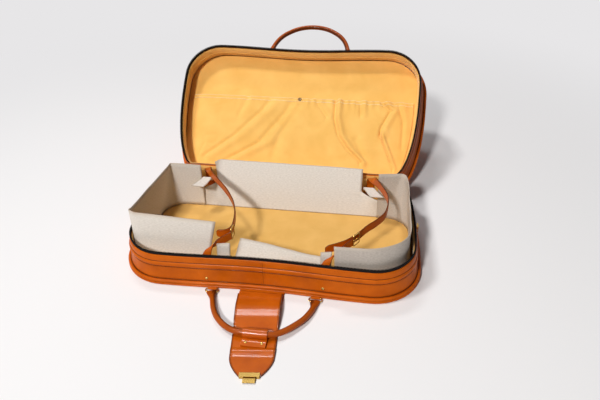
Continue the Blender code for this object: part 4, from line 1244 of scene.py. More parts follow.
# %% Strap ribbon
strap_width = 0.019
strap_thickness = 0.0022
strap_foot_gap = 0.0005
strap_hem_gap = 0.0012
strap_foot_share = 0.21
strap_waist_share = 0.56
strap_rise_share = 0.74
left_anchor_share = -0.116 / half_width
right_anchor_share = 0.122 / half_width

strap_point_length = 0.010
strap_point_narrowing = 0.55
strap_rim_shares = (0.05, 0.004)
stitch_row_shares = (0.16, 0.84)


def wall_rest(x_share, at_back, level_share):
    """Y share at which a strap lies on the front or back wall's lining."""
    low, waist = BASE.wall
    inner_foot = lining_thickness - BASE.lining_foot
    share = min(1, max(0, (level_share * base_depth - low) / (waist - low)))
    inner = inner_foot + (skin_back_reach + clearance + lining_thickness - inner_foot) * share
    inner += strap_thickness / 2
    inner += strap_foot_gap if level_share == strap_foot_share else strap_hem_gap
    if at_back:
        return 1 - inner / half_length
    return (inner + sag(abs(x_share) * half_width - strap_width / 2)) / half_length - 1


def climb(x_share, at_back):
    """Stations of a strap that is sewn at its foot and climbs a wall."""
    return tuple((x_share, wall_rest(x_share, at_back, share), share, 0)
                 for share in (strap_foot_share, strap_waist_share, strap_rise_share))


def station_point(station):
    """The place of a strap's station."""
    return Vector((station[0] * half_width, station[1] * half_length, station[2] * base_depth))


def make_strap(node, stations, pointed):
    """A leather ribbon with painted edges and two rows of stitches."""
    route = smooth_route([station_point(station) for station in stations], 6)
    leans = smooth_route([(station[3], 0, 0) for station in stations], 6)
    length = distances(route)[-1]
    point_share = strap_point_length / length

    def ribbon(u, v):
        angle = min(1, max(0, along(leans, v).x)) * math.pi / 2
        across = Vector((math.cos(angle), 0, math.sin(angle)))
        return along(route, v) + across * strap_width * (u - 0.5)

    def place(u, v):
        if pointed and v > 1 - point_share:
            close = (v - (1 - point_share)) / point_share
            u = 0.5 + (u - 0.5) * (1 - strap_point_narrowing * close ** 2)
        return ribbon(u, v)
    sheet(node + "_hide", place, 8, (len(route) - 1) * 2, strap_width, length, strap_thickness, "base",
          node, cognac_bright, rim_shares=strap_rim_shares, smooth=True)
    count = int(length / stitch_pitch)
    matrices = []
    for side in stitch_row_shares:
        for step in range(3, count - 3):
            share = step / count
            here = ribbon(side, share)
            heading = (ribbon(side, share + 0.5 / count) - here).normalized()
            across = (ribbon(1, share) - ribbon(0, share)).normalized()
            normal = heading.cross(across).normalized()
            matrices += [frame_at(here + normal * face * (strap_thickness / 2), heading, normal)
                         for face in (-1, 1)]
    finish(node + "_hide_stitches", repeat(stitch, matrices), "base", node, thread)


left_long = climb(-0.667, True) + (
    (-0.657, 0.880, 1.03, 0.1), (-0.620, 0.715, 1.25, 0.5), (-0.560, 0.520, 1.34, 0.9),
    (-0.467, 0.333, 1.32, 1), (-0.377, 0.133, 1.30, 1), (-0.307, -0.073, 1.27, 1),
    (-0.266, -0.273, 1.26, 1), (-0.2475, -0.473, 1.25, 1), (-0.2490, -0.600, 1.23, 1),
    (-0.285, -0.655, 1.21, 1), (-0.345, -0.660, 1.19, 1))
left_short = climb(left_anchor_share, False) + (
    (left_anchor_share * 0.957, -0.885, 1.02, 0.3), (left_anchor_share * 0.845, -0.830, 1.15, 0.75),
    (left_anchor_share * 0.70, -0.765, 1.21, 1), (-0.2343, -0.7010, 1.23, 1))
right_long = climb(0.653, True) + (
    (0.658, 0.880, 1.03, 0.1), (0.672, 0.715, 1.25, 0.5), (0.698, 0.576, 1.36, 0.9),
    (0.741, 0.436, 1.36, 1), (0.790, 0.242, 1.32, 1), (0.795, 0.061, 1.30, 1),
    (0.777, -0.103, 1.27, 1), (0.727, -0.255, 1.26, 1), (0.667, -0.382, 1.25, 1),
    (0.620, -0.503, 1.23, 1), (0.550, -0.655, 1.22, 1), (0.480, -0.733, 1.19, 1),
    (0.407, -0.794, 1.17, 1))
right_short = climb(right_anchor_share, False) + (
    (right_anchor_share * 1.07, -0.890, 1.02, 0.3), (0.495, -0.805, 1.15, 0.75),
    (0.5807, -0.6376, 1.22, 1))
make_strap("strap_left_long", left_long, True)
make_strap("strap_left_short", left_short, False)
make_strap("strap_right_long", right_long, True)
make_strap("strap_right_short", right_short, False)
print("pieces so far:", len(made_pieces))

# %% [markdown]
# ## Metal frames
#
# Rings and buckle frames are bent wire: a round section carried round a rectangle with rounded
# corners. The same helper that follows the rim can follow these small loops, because it only
# needs a list of rings.

# %% Wire that follows a loop
def rounded_rectangle(width, length, radius, steps):
    """Corners of a rectangle centred on the origin, rounded."""
    points = []
    for sign_x, sign_y, start in ((1, 1, 0), (-1, 1, 90), (-1, -1, 180), (1, -1, 270)):
        centre = (sign_x * (width / 2 - radius), sign_y * (length / 2 - radius))
        points += arc_points(centre, radius, start, start + 90, steps)
    return points


def wire_loop(name, points, radius, body, node, place):
    """A closed loop of round wire along flat points in X and Y."""
    rings = []
    for number, point in enumerate(points):
        ahead = Vector((*points[(number + 1) % len(points)], 0))
        behind = Vector((*points[number - 1], 0))
        outward = (ahead - behind).normalized().cross(UP)
        rings.append(ellipse_ring(Vector((*point, 0)), outward, UP, radius, radius, 12))
    finish(name, carry_profile(rings, True), body, node, brass, True, place, sharp=80)


# %% Handle rings
ring_width = 0.0256
ring_wire_radius = 0.00125
ring_corner_radius = 0.0030
SIDES = ((-1, "left"), (1, "right"))
ring_line = rounded_rectangle(ring_width, ring_length, ring_corner_radius, 5)
for half in HALVES:
    for side, side_name in SIDES:
        spot = Matrix.Translation((handle_centre_x + side * ring_spread,
                                   ring_axis_y(half) - ring_length / 2, level(half, ring_axis_height)))
        wire_loop(f"{half.name}_wire_ring_{side_name}", ring_line, ring_wire_radius, half.handle,
                  f"{half.name}_ring_{side_name}", opened_handle @ spot if half.is_lid else spot)
print("rings:", [piece.name for piece in made_pieces[-4:]])

# %% Buckles
buckle_length = 0.018
buckle_height = 0.0256
buckle_wire_radius = 0.0012
buckle_corner_radius = 0.0026
buckle_gap = 0.0022
prong_radius = 0.0009


def make_buckle(side_name, strap_end, before, after):
    """Wire frame beyond a short strap's end, turned along the long strap, and its prong."""
    course = station_point(after) - station_point(before)
    spin = Matrix.Rotation(math.atan2(course.y, course.x), 4, "Z")
    middle = station_point(strap_end) - spin @ Vector((buckle_length / 2 + buckle_gap, 0, 0))
    turn = Matrix.Translation(middle) @ spin @ Matrix.Rotation(math.pi / 2, 4, "X")
    outline = rounded_rectangle(buckle_length, buckle_height, buckle_corner_radius, 5)
    wire_loop("buckle_frame_" + side_name, outline, buckle_wire_radius, "base", "buckle_" + side_name,
              turn)
    inside = buckle_length - 2 * buckle_wire_radius - 2 * clearance
    rings = []
    for share in (0, 0.05, 0.5, 0.9, 0.97, 1.0):
        radius = prong_radius * (1 - 0.55 * max(0, (share - 0.85) / 0.15))
        rings.append(ellipse_ring(ACROSS * inside * (0.5 - share), BACK, UP, radius, radius, 10))
    node = "prong_" + side_name
    finish("prong_pin_" + side_name, carry_profile(rings, False), node, node, brass, True, turn, sharp=60)


make_buckle("left", left_short[-1], left_long[-4], left_long[-3])
make_buckle("right", right_short[-1], right_long[-5], right_long[-4])
print("buckles:", [piece.name for piece in made_pieces[-4:]])

# %% [markdown]
# ## The rolled grips
#
# A grip is hide rolled round a cord and stitched underneath. Its section is a circle along the
# hand and flattens to a wide, thin end that wraps the ring. So the rings of the sweep are
# ellipses whose two radii change along the way, and the end is closed like the side of a drum.

# %% Grip
handle_reach = 0.112
handle_radius = 0.0058
handle_loop_width = 0.020
handle_loop_radius = 0.0032
handle_left_shares = ((0.915, 0.270), (0.860, 0.420), (0.795, 0.560), (0.695, 0.712),
                      (0.545, 0.858), (0.385, 0.955), (0.240, 0.996), (0.090, 1.0))
handle_right_shares = ((0.985, 0.270), (0.938, 0.410), (0.855, 0.572), (0.725, 0.730),
                       (0.585, 0.868), (0.440, 0.962), (0.290, 0.998), (0.110, 1.0))
lid_handle_shares = ((0.955, 0.270), (0.900, 0.430), (0.820, 0.580), (0.690, 0.730),
                     (0.500, 0.868), (0.330, 0.946), (0.165, 0.988), (0.020, 1.0))
grip_seam_start = 0.72
grip_seam_rise = 0.55
sleeve_wall = 0.0020
sleeve_bore_clearance = 0.0016
sleeve_shift = 0.0090
sleeve_length = 0.046
sleeve_flange_length = 0.0255
sleeve_flange_thickness = 0.0040
handle_middle_height = (flap_thickness + 2 * clearance + handle_radius + sleeve_bore_clearance
                        + sleeve_wall)

grip_cap_angles = (30, 55, 75, 87)
grip_taper = 0.0225
grip_stitch_share = 0.72


def bar_end(side):
    """Where a grip starts: at the middle of a ring's outer bar."""
    return Vector((handle_centre_x + side * ring_spread, -ring_length, 0))


def handle_point(share_x, share_y, side):
    """A point of the grip's middle line, from its shares of the spread and the reach."""
    return Vector((handle_centre_x + side * share_x * ring_spread, -share_y * handle_reach,
                   share_y * (handle_middle_height - ring_axis_height)))


def grip_shares(half):
    """The grip's points left and right; the lid's grip hangs free, so it keeps an even arc."""
    if half.is_lid:
        return lid_handle_shares, lid_handle_shares
    return handle_left_shares, handle_right_shares


def grip_half_sizes(distance):
    """Half width and half thickness at a distance from the bar."""
    share = min(1, max(0, distance / grip_taper))
    ease = share * share * (3 - 2 * share)
    wide = handle_loop_width / 2 + (handle_radius - handle_loop_width / 2) * ease
    thick = handle_loop_radius + (handle_radius - handle_loop_radius) * ease
    return wide, thick


def grip_place(half):
    """From the ring axis' own frame to where the grip lies."""
    spot = Matrix.Translation((0, ring_axis_y(half), level(half, ring_axis_height)))
    return opened_handle @ spot @ Matrix.Diagonal((1, 1, -1, 1)) if half.is_lid else spot


def drum_cap(section, sign):
    """Rings that close an end of the grip like the side of a drum."""
    point, heading, across, normal, wide, thick = section
    reaches = [(handle_loop_radius * math.sin(math.radians(angle)),
                handle_loop_radius * math.cos(math.radians(angle))) for angle in grip_cap_angles]
    return [ellipse_ring(point + heading * sign * reach, across, normal, wide, thin, 20)
            for reach, thin in reaches]


def make_grip(half):
    left_shares, right_shares = grip_shares(half)
    line = [bar_end(-1)] + [handle_point(*shares, -1) for shares in left_shares]
    line += [handle_point(*shares, 1) for shares in reversed(right_shares)] + [bar_end(1)]
    route = smooth_route(line, 5)
    lengths = distances(route)
    total = lengths[-1]
    sections = []
    for number, point in enumerate(route):
        ahead, behind = route[min(number + 1, len(route) - 1)], route[max(number - 1, 0)]
        heading = (ahead - behind).normalized()
        across = heading.cross(UP).normalized()
        normal = across.cross(heading).normalized()
        sizes = grip_half_sizes(min(lengths[number], total - lengths[number]))
        sections.append((point, heading, across, normal, *sizes))
    rings = drum_cap(sections[0], -1)[::-1]
    rings += [ellipse_ring(point, *rest, 20) for point, heading, *rest in sections]
    rings += drum_cap(sections[-1], 1)
    work = carry_profile(rings, False)
    edge = work.verts.layers.float.new("edge")
    for vert in work.verts:
        point, heading, across, normal, wide, thick = min(
            sections, key=lambda section: (section[0] - vert.co).length_squared)
        seam_side = (normal * grip_seam_rise - across).normalized()
        inward = (vert.co - point).normalized().dot(seam_side)
        vert[edge] = 0.9 * min(1, max(0, (inward - grip_seam_start) / 0.2))
    name, node, spot = half.name + "_grip_roll", half.name + "_handle", grip_place(half)
    finish(name, work, half.handle, node, cognac_grip, True, spot, sharp=50)
    matrices = []
    count = int(total / stitch_pitch)
    for step in range(6, count - 6):
        share = step / count
        here = along(route, share)
        heading = (along(route, share + 0.2 / count) - here).normalized()
        wide, thick = grip_half_sizes(min(share, 1 - share) * total)
        inner = -(heading.cross(UP).normalized() * wide + UP * thick) * grip_stitch_share
        matrices.append(frame_at(here + inner, heading, inner.normalized()))
    finish(name + "_stitches", repeat(stitch, matrices), half.handle, node, thread, place=spot)


for half in HALVES:
    make_grip(half)
print("pieces so far:", len(made_pieces))

# %% [markdown]
# ## Rivets and press studs
#
# A rivet head is a low dome. It is turned: a short outline is spun a full turn about its axis.
# The same dome serves the grips, the studs on the front wall and the press studs, with its own
# radius and height each time.

# %% A turned dome
def make_dome(name, body, node, material, radius, height, spot, dimple=0.0, replaces=False):
    """A domed head whose foot sits at a spot, facing its Z."""
    work = bmesh.new()
    outline = [(0.0, height - dimple), (radius * 0.30, height - dimple * 0.6),
               (radius * 0.62, height * 0.93), (radius * 0.88, height * 0.60),
               (radius, height * 0.22), (radius, 0.0), (0.0, 0.0)]
    verts = [work.verts.new((x, 0, z)) for x, z in outline]
    edges = [work.edges.new(pair) for pair in zip(verts, verts[1:])]
    bmesh.ops.spin(work, geom=verts + edges, cent=(0, 0, 0), axis=(0, 0, 1), dvec=(0, 0, 0),
                   angle=2 * math.pi, steps=20, use_merge=True, use_duplicate=False)
    bmesh.ops.remove_doubles(work, verts=work.verts, dist=0.01 * MM)
    finish(name, work, body, node, material, replaces, spot, sharp=60)


def facing(point, normal):
    """A matrix that sets +Z along a normal at a point."""
    return Matrix.Translation(point) @ normal.to_track_quat("Z", "Y").to_matrix().to_4x4()


# %% Rivets on the grips' ends, and studs over the straps' anchors
rivet_distance = 0.0095
stud_level = 0.0190

for half in HALVES:
    for (side, side_name), shares in zip(SIDES, grip_shares(half)):
        course = (handle_point(*shares[0], side) - bar_end(side)).normalized()
        seat = bar_end(side) + course * rivet_distance + UP * (handle_loop_radius + 0.35 * MM)
        make_dome(f"{half.name}_grip_rivet_{side_name}", half.handle, f"{half.name}_ring_{side_name}",
                  brass, 2.1 * MM, 0.9 * MM, grip_place(half) @ facing(seat, UP))
for side_name, x in (("left", -0.116), ("right", 0.122)):
    low, high = BASE.wall
    slope = math.atan2(BASE.wall_foot - band_foot_reach, high - low - 2 * piping_radius)
    normal = UP * math.sin(slope) - BACK * math.cos(slope)
    seat = Vector((x, -half_length - wall_reach_at(BASE, stud_level) + sag(x), stud_level))
    node = "strap_stud_" + side_name
    make_dome(node + "_head", "base", node, brass, 3.4 * MM, 1.5 * MM,
              facing(seat - normal * 0.1 * MM, normal), replaces=True)
print("pieces so far:", len(made_pieces))

# %% [markdown]
# ## The closing flap
#
# The flap is one long strap of thick hide that lies on the floor. It rises in a hump behind the
# grip, passes under it and narrows to the clasp. A creased line runs inside each edge, which on
# the grid is a pair of columns pressed down a little.

# %% Flap lengths and heights
flap_arch_start = 0.0040
flap_rest = clearance
flap_sway_distance = 0.0170
flap_bend_distance = 0.1587
flap_length = 0.2013
flap_end_width = 0.082
# Distance from the fold and height of the underside: a hump, then a low swell past the sleeve
flap_swells = ((0.004, 2 * clearance + flap_thickness), (0.020, 0.0066), (0.034, 0.0104), (0.046, 0.0118),
               (0.054, 0.0114), (0.062, 0.0102), (0.070, 0.0090), (0.080, 0.0066), (0.091, 0.0022),
               (0.101, flap_rest), (0.1375, flap_rest), (0.1405, 0.0015), (0.1430, 0.0021),
               (0.1455, 0.00195), (0.1480, 0.00155), (0.1510, 0.0011), (0.1545, 0.00068),
               (0.158, flap_rest),
               (0.205, flap_rest))
flap_skew = math.radians(6.5)
flap_tip_power = 1.8
clasp_width = 0.036

fold_y = ring_axis_y(BASE)
sway_pin = Vector((0, fold_y - flap_sway_distance, 0))
skewed = Matrix.Translation(sway_pin) @ Matrix.Rotation(flap_skew, 4, "Z") @ Matrix.Translation(-sway_pin)


def flap_half_width(distance):
    share = min(1, max(0, distance / flap_bend_distance))
    half = (flap_width + (flap_end_width - flap_width) * share) / 2
    if distance > flap_bend_distance:
        share = min(1, (distance - flap_bend_distance) / (flap_length - flap_bend_distance))
        half = clasp_width / 2 + (half - clasp_width / 2) * (1 - share ** flap_tip_power)
    return half


def flap_underside(distance):
    """Height of the flap's underside at a distance from its fold, eased between the swells."""
    distance = min(flap_swells[-1][0], max(flap_swells[0][0], distance))
    index = max(i for i in range(len(flap_swells) - 1) if flap_swells[i][0] <= distance)
    (d0, h0), (d1, h1) = flap_swells[index:index + 2]
    slopes = []
    for here in (index, index + 1):
        before, after = flap_swells[max(0, here - 1)], flap_swells[min(len(flap_swells) - 1, here + 1)]
        slopes.append((after[1] - before[1]) / (after[0] - before[0]) * (d1 - d0))
    t = (distance - d0) / (d1 - d0)
    eased = (h0 * (2 * t ** 3 - 3 * t ** 2 + 1) + slopes[0] * (t ** 3 - 2 * t ** 2 + t)
             + h1 * (3 * t ** 2 - 2 * t ** 3) + slopes[1] * (t ** 3 - t ** 2))
    return max(flap_rest, eased)


crease_inset = 0.0032
crease_depth = 0.00035
flap_roll = 0.0011


def flap_columns():
    """Offsets from the middle, as (share of the half width, metres in from the edge, press)."""
    side = [(0.30, 0.0, 0.0), (0.62, 0.0, 0.0), (1.0, crease_inset + 1.2 * MM, 0.0),
            (1.0, crease_inset + 0.5 * MM, 0.0), (1.0, crease_inset, crease_depth),
            (1.0, crease_inset - 0.5 * MM, 0.0), (1.0, flap_roll, 0.0), (1.0, 0.3 * MM, 0.25 * MM),
            (1.0, 0.0, 1.0 * MM)]
    mirrored = [(-share, inset, press) for share, inset, press in reversed(side)]
    return [*mirrored, (0.0, 0.0, 0.0), *side]


def flap_edge(vert):
    """How strongly a point of the flap is painted: at its rolled edge and along its crease."""
    inset = flap_half_width(fold_y - vert.co.y) - abs(vert.co.x)
    if inset < flap_roll + 0.1 * MM:
        return 1.0
    return 0.85 if abs(inset - crease_inset) < 0.2 * MM else 0.0


def make_flap_piece(label, node, start, end, rows):
    """A closed length of flap: rings across it, carried from its start to its end."""
    rings = []
    for step in range(rows + 1):
        distance = start + (end - start) * step / rows
        side, under = flap_half_width(distance), flap_underside(distance)
        above, below = [], []
        for share, inset, press in flap_columns():
            x = share * side - math.copysign(inset, share) if share else 0.0
            above.append(Vector((x, fold_y - distance, under + flap_thickness - press)))
            below.append(Vector((x, fold_y - distance, under + min(press, 0.5 * MM) * 0.5)))
        rings.append(above + below[::-1])
    work = carry_profile(rings, False)
    edge = work.verts.layers.float.new("edge")
    for vert in work.verts:
        vert[edge] = flap_edge(vert)
    finish(f"flap_{label}_hide", work, node, node, cognac_bright, True, skewed, sharp=35)


make_flap_piece("long", "flap_strap", flap_arch_start, flap_bend_distance - clearance / 2, 70)
make_flap_piece("tip", "flap_tip", flap_bend_distance + clearance / 2, flap_length, 24)


# %% Stitches along the flap's crease
def flap_seam_point(side, distance):
    return Vector((side * (flap_half_width(distance) - crease_inset + 0.2 * MM), fold_y - distance,
                   flap_underside(distance) + flap_thickness - 0.1 * MM))


def flap_stitches(label, node, start, end):
    count = int((end - start) / stitch_pitch)
    matrices = [stitch_on(lambda distance: flap_seam_point(side, distance),
                          start + (end - start) * step / count, stitch_sight, UP)
                for step in range(1, count) for side in (-1, 1)]
    finish(f"flap_{label}_stitches", repeat(stitch, matrices), node, node, thread, place=skewed)


flap_stitches("long", "flap_strap", flap_arch_start, flap_bend_distance)
flap_stitches("tip", "flap_tip", flap_bend_distance, flap_length - 6 * MM)
print("pieces so far:", len(made_pieces))

# %% [markdown]
# ## The sleeve round the grip
#
# A short strap is wrapped round the front grip and snapped to itself. Its section is drawn from
# the side: flat underneath, once round the grip, and back over itself to the snapped edge.

# %% Sleeve
snap_spread = 0.0150
snap_inset = 0.0080
sleeve_stop_shares = (-0.5, -0.488, -0.3, 0.0, 0.3, 0.488, 0.5)


def sleeve_section(centre, low):
    """Outline of the wrapped sleeve in (Y, Z), as one closed band."""
    inner = handle_radius + sleeve_bore_clearance
    outer = inner + sleeve_wall
    end = centre[0] - sleeve_flange_length
    seam = low + sleeve_flange_thickness / 2
    top = low + sleeve_flange_thickness
    meet_out = math.degrees(math.asin((centre[1] - top) / outer))
    meet_in = math.degrees(math.asin(min(1, (centre[1] - seam) / inner)))
    return [(end, low + 0.3 * MM), (end + 0.4 * MM, low),
            *arc_points(centre, outer, -90, 180 + meet_out, 26),
            (end + 0.6 * MM, top), (end, top - 0.4 * MM), (end, seam + 0.25 * MM),
            (end + 0.5 * MM, seam + 0.1 * MM), (centre[0] - inner * 0.98, seam + 0.1 * MM),
            *arc_points(centre, inner, 178 + meet_in * 0.4, -80, 22),
            (centre[0] - inner * 0.75, low + sleeve_wall * 0.75),
            (end + 0.5 * MM, seam - 0.1 * MM), (end, seam - 0.25 * MM)]


def make_sleeve():
    centre = (fold_y - handle_reach, handle_middle_height)
    low = centre[1] - handle_radius - sleeve_bore_clearance - sleeve_wall
    middle_x = handle_centre_x + sleeve_shift
    section = sleeve_section(centre, low)
    rings = [[Vector((middle_x + stop * sleeve_length, y, z)) for y, z in section]
             for stop in sleeve_stop_shares]
    finish("handle_sleeve_wrap", carry_profile(rings, False), "handle_sleeve", "handle_sleeve",
           cognac_bright, True)
    for side, side_name in SIDES:
        seat = Vector((middle_x + side * snap_spread, centre[0] - sleeve_flange_length + snap_inset,
                       low + sleeve_flange_thickness))
        make_dome("sleeve_snap_" + side_name, "handle_sleeve", "handle_sleeve", brass, 3.1 * MM,
                  1.6 * MM, facing(seat, UP), dimple=0.4 * MM)


make_sleeve()
print("pieces so far:", len(made_pieces))

# %% [markdown]
# ## The pocket
#
# The pocket is golden cloth gathered on an elastic hem. On the left it is pulled in long diagonal
# folds, and right of the press stud the elastic bunches it in short gathers that run out into
# deep folds. All of that is height over the lid's lining, so one function adds up ridges: each is
# a soft wave across a line that starts at the hem and drifts sideways on its way down.

# %% Pocket folds
pocket_width = 0.578
pocket_length = 0.2005
pocket_thickness = 0.0012
pocket_bulge = 0.0055
pocket_side_gap = 0.006
pocket_rise_run = 0.045


def line_at(points, y):
    """X of a line of (x, y) points at y, and how far y lies beyond its ends."""
    for (x0, y0), (x1, y1) in zip(points, points[1:]):
        if y <= y1:
            share = (y - y0) / (y1 - y0)
            return x0 + (x1 - x0) * max(0, share), max(0, y0 - y)
    return points[-1][0], max(0, y - points[-1][1])


def crease(x, y, points, depth, width, swell):
    """A pressed line with a soft roll on its right; swell is the roll's share of the depth."""
    middle, beyond = line_at(points, y)
    fade = math.exp(-(beyond / crease_fade) ** 2)
    valley = math.exp(-((x - middle) / width) ** 2)
    roll = math.exp(-((x - middle - 2.4 * width) / (1.9 * width)) ** 2)
    return fade * depth * (swell * roll - valley)


# Lines from the hem (negative y) toward the hinge; depth and width in millimetres
pocket_creases = (
    (((0.091, -0.044), (0.092, 0.004), (0.105, 0.049), (0.129, 0.083), (0.165, 0.117)), 3.4, 4.2, 0.9),
    (((0.208, -0.044), (0.232, -0.022), (0.212, 0.020), (0.209, 0.043)), 3.0, 4.6, 0.8),
    (((0.209, 0.043), (0.246, 0.129)), 3.6, 2.2, 0.9),
    (((0.250, -0.040), (0.265, 0.004), (0.265, 0.070)), 2.6, 4.6, 0.7),
    (((0.041, -0.040), (0.070, 0.000)), 1.8, 4.5, 0.6),
    (((0.152, -0.050), (0.157, -0.010)), 2.2, 4.0, 0.7),
    (((-0.141, -0.044), (-0.158, 0.008)), 1.3, 6.5, 0.7),
    (((-0.085, -0.030), (-0.097, -0.010), (-0.163, 0.064), (-0.235, 0.124)), 2.6, 8.5, 0.9),
    (((-0.025, -0.030), (-0.035, -0.008), (-0.095, 0.079), (-0.180, 0.134)), 2.8, 9.5, 0.9),
    (((0.003, -0.034), (-0.045, 0.057), (-0.056, 0.113)), 1.6, 10.0, 0.7),
    (((0.150, 0.060), (0.190, 0.135)), 1.6, 8.0, 0.7),
    (((-0.240, 0.092), (-0.253, 0.130)), 1.0, 3.0, 0.5))


fold_depth = 1.7 * MM
crease_fade = 0.010
oval_centre = (-0.224, 0.077)
oval_radius = 0.012
oval_depth = 1.1 * MM
gather_start = 0.012
pleat_pitch = 0.0185
pleat_depth = 1.3 * MM
pleat_share = 0.16
billow_depth = 1.3 * MM
scallop_pitch = 0.031
scallop_depth = 1.0 * MM

def pocket_height(x, y, share):
    """Height of the cloth over its seam; share runs from the hinge to the hem."""
    folds = sum(crease(x, y, points, depth * fold_depth, width * MM, swell)
                for points, depth, width, swell in pocket_creases)
    oval = math.hypot((x - oval_centre[0]) / 1.5, y - oval_centre[1]) / oval_radius
    folds -= oval_depth * math.exp(-((oval - 1) / 0.35) ** 2)
    gather = 1.0 if x > gather_start else 0.28
    pleats = math.sin(x * 2 * math.pi / pleat_pitch + 2.2 * math.sin(x * 41)) * pleat_depth * gather
    folds += pleats * max(0, (share - 1 + pleat_share) / pleat_share) ** 1.2
    return folds + billow_depth * noise.noise(Vector((x * 13, share * 3.0, 2.0)))


def pocket_place(u, v):
    inset = skin_back_reach + clearance + lining_thickness + pocket_side_gap
    y = half_length - inset - pocket_length * v
    side = rim_half_width(y) - inset
    x = (2 * u - 1) * side
    edge = min(1, (1 - abs(2 * u - 1)) * side / pocket_rise_run, v * pocket_length / pocket_rise_run)
    rise = math.sin(edge * math.pi / 2)
    scallop = scallop_depth * math.sin(x * 2 * math.pi / scallop_pitch) * v ** 8
    scallop *= 1 if x > gather_start else 0.15
    height = padded_top(LID) + clearance + pocket_thickness / 2
    height += rise * (pocket_bulge + pocket_height(x, y, v))
    return Vector((x, y - scallop, level(LID, height)))


pocket_piece = sheet("lid_pocket_cloth", pocket_place, 300, 90, pocket_width, pocket_length,
                     pocket_thickness, "lid", "lid_pocket", gold_suede, ["lid_pocket"], smooth=0,
                     matrix=opened, sharp=80)

# %% Hem of the pocket and its press stud
hem_depth = 0.0085
hem_thickness = 0.9 * MM
hem_foot = 1 - hem_depth / pocket_length
hem_cord_radius = 0.65 * MM


def hem_shares(count, margin):
    """Shares across the pocket, with a margin left free on both sides."""
    return [margin + (1 - 2 * margin) * step / count for step in range(count + 1)]


def sew_to_pocket(name, work, material, **others):
    finish(name, work, "lid", "lid_pocket", material, place=opened, **others)


rings = []
for u in hem_shares(160, 0.004):
    front, back = pocket_place(u, 1.0), pocket_place(u, hem_foot)
    rings.append([front - BACK * 0.5 * MM, front - UP * hem_thickness,
                  back - UP * hem_thickness * 1.1, back - UP * 0.2 * MM, back + UP * 0.5 * MM,
                  front + UP * hem_thickness * 0.8])
sew_to_pocket("pocket_hem", carry_profile(rings, False), gold_suede, sharp=50)
# The pale cord along the hem's top edge is a painted highlight; the one at the hem's foot is a line of
# pale thread.
for name, share in (("pocket_hem_edge_highlight", 1.0), ("pocket_hem_foot", hem_foot)):
    rings = [ellipse_ring(pocket_place(u, share) - UP * hem_thickness, BACK, UP, hem_cord_radius,
                          hem_cord_radius) for u in hem_shares(220, 0.005)]
    sew_to_pocket(name, carry_profile(rings, False), gold_thread_and_highlight)
seam = 1 - hem_depth * 0.86 / pocket_length
matrices = [stitch_on(lambda u: pocket_place(u, seam) - UP * 1.05 * MM, u, 0.001, -UP)
            for u in hem_shares(171, 0.006)]
sew_to_pocket("pocket_hem_stitches", repeat(stitch, matrices), gold_thread_and_highlight)
snap_seat = pocket_place(0.495, 0.985) - UP * 1.2 * MM
make_dome("pocket_stud", "lid", "pocket_snap", bronze, 5.0 * MM, 1.8 * MM,
          opened @ facing(snap_seat, -UP), dimple=1.2 * MM, replaces=True)
print("pieces so far:", len(made_pieces))

# %% [markdown]
# ## Finishes for the solids that stay
#
# Small metal parts, the strap ends and the hinge strips already have the right shape in the
# frame. They keep their meshes and only change their material.

# %% Repaint the frame's own nodes
repainted = {
    brass: ["flap_clasp", "clasp_hook", "lock_plate", "lock_button"]
    + [part + side_name for part in ("zip_slider_", "zip_pull_") for side, side_name in SIDES],
    cognac: ["flap_root", "flap_neck"] + [half.name + "_hinge_strip" for half in HALVES]
    + [half.name + "_handle_chape_" + side_name for half in HALVES for side, side_name in SIDES],
}
for material, names in repainted.items():
    for name in names:
        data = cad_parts[name].data
        data.materials.clear()
        data.materials.append(material)
        data.set_sharp_from_angle(angle=math.radians(40))
print("repainted:", sum(len(names) for names in repainted.values()))

# %% [markdown]
# ## Floor, light and camera
#
# The case was photographed on a white sweep. A pale floor takes the shadows and, well away from
# the case, fades to the colour of the paper behind it. The front key comes from the left and
# throws the lid's shadow to the right and behind, a second lamp high on the left throws the
# base's shadow to the right, and a small lamp behind draws the soft streaks on the flap. A dim
# world fills the rest, but the camera and mirror-like metal see it as pale paper. The camera
# stands where the photograph's perspective puts it.

# %% Floor
paper_colour = (0.80, 0.79, 0.80)
floor_size = 12
fade_start = 0.45
fade_end = 1.6


def blend_shaders(tree, fac, first, second, end_name):
    """Mix two shaders by a factor and send them to the tree's end."""
    mixed = add_node(tree, "MixShader", Fac=fac)
    tree.links.new(first.outputs[0], mixed.inputs[1])
    tree.links.new(second.outputs[0], mixed.inputs[2])
    tree.links.new(mixed.outputs[0], tree.nodes[end_name].inputs["Surface"])


floor_material = bpy.data.materials.new("pale_floor")
floor_material.use_nodes = True
tree = floor_material.node_tree
shader = feed(tree, tree.nodes["Principled BSDF"], Base_Color=(0.86, 0.85, 0.855), Roughness=0.9,
              Specular_IOR_Level=0.1)
away = add_node(tree, "VectorMath", {"operation": "LENGTH"},
                Vector=add_node(tree, "TexCoord").outputs["Object"])
fade = add_node(tree, "MapRange", {"interpolation_type": "SMOOTHSTEP"},
                Value=away.outputs["Value"], From_Min=fade_start, From_Max=fade_end)
far_seen = math_node(tree, "MULTIPLY", fade.outputs["Result"],
                     add_node(tree, "LightPath").outputs["Is Camera Ray"])
blend_shaders(tree, far_seen, shader, add_node(tree, "Emission", Color=paper_colour), "Material Output")
work = bmesh.new()
bmesh.ops.create_grid(work, x_segments=1, y_segments=1, size=floor_size)
floor = bpy.data.objects.new("floor", mesh_of("floor", work))
floor.data.materials.append(floor_material)
bpy.context.scene.collection.objects.link(floor)


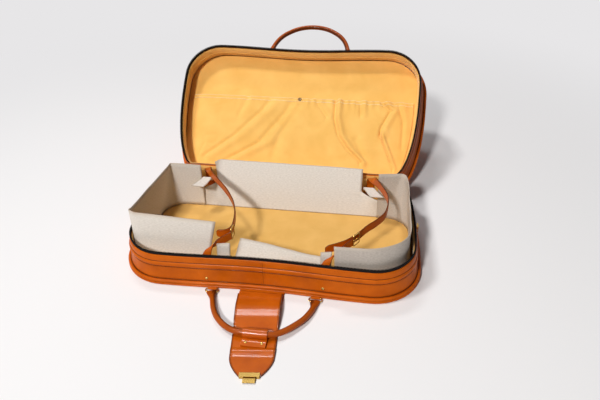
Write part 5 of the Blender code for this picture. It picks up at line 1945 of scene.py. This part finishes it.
# %% Lamps and world
def area_lamp(name, place, target, size, power, colour):
    """A soft rectangular lamp aimed at a point."""
    data = bpy.data.lights.new(name, "AREA")
    data.shape = "RECTANGLE"
    data.size, data.size_y = size
    data.energy = power
    data.color = colour
    lamp = bpy.data.objects.new(name, data)
    bpy.context.scene.collection.objects.link(lamp)
    lamp.location = place
    lamp.rotation_euler = (Vector(target) - Vector(place)).to_track_quat("-Z", "Y").to_euler()


area_lamp("front_key", (-1.30, -4.4, 4.0), (0, 0.2, 0.05), (0.6, 0.6), 246, (1.0, 0.99, 0.975))
area_lamp("high_left", (-2.0, -0.3, 4.7), (0, 0.0, 0.05), (0.7, 0.7), 106, (1.0, 0.99, 0.98))
area_lamp("back_strip", (-0.50, 1.15, 2.8), (0, -0.3, 0.0), (0.65, 0.26), 15, (1.0, 1.0, 1.0))
world = bpy.data.worlds.new("studio")
bpy.context.scene.world = world
world.use_nodes = True
tree = world.node_tree
fill = feed(tree, tree.nodes["Background"], Color=(0.90, 0.91, 0.93), Strength=0.07)
rays = add_node(tree, "LightPath").outputs
seen = math_node(tree, "MAXIMUM", rays["Is Camera Ray"], rays["Is Glossy Ray"])
seen = math_node(tree, "MAXIMUM", seen, rays["Is Transmission Ray"])
blend_shaders(tree, seen, fill, add_node(tree, "Background", Color=paper_colour), "World Output")
print("lamps:", [lamp.name for lamp in bpy.data.lights])

# %% Camera
camera_place = Vector((0.2263, -0.9791, 0.8255))
camera_azimuth = math.radians(10.06)
camera_elevation = math.radians(35.79)
camera_roll = math.radians(-1.93)
focal_pixels = 574.3
image_width = 600
camera_data = bpy.data.cameras.new("camera")
camera_data.sensor_width = 36
camera_data.lens = focal_pixels / image_width * camera_data.sensor_width
back = Vector((math.sin(camera_azimuth) * math.cos(camera_elevation),
               -math.cos(camera_azimuth) * math.cos(camera_elevation), math.sin(camera_elevation)))
right = Vector((math.cos(camera_azimuth), math.sin(camera_azimuth), 0))
up = back.cross(right)
rolled_right = right * math.cos(camera_roll) + up * math.sin(camera_roll)
rolled_up = up * math.cos(camera_roll) - right * math.sin(camera_roll)
camera = bpy.data.objects.new("camera", camera_data)
bpy.context.scene.collection.objects.link(camera)
camera.matrix_world = Matrix.Translation(camera_place) @ Matrix(
    (rolled_right, rolled_up, back)).transposed().to_4x4()
bpy.context.scene.camera = camera
bpy.context.scene.view_settings.view_transform = "Standard"
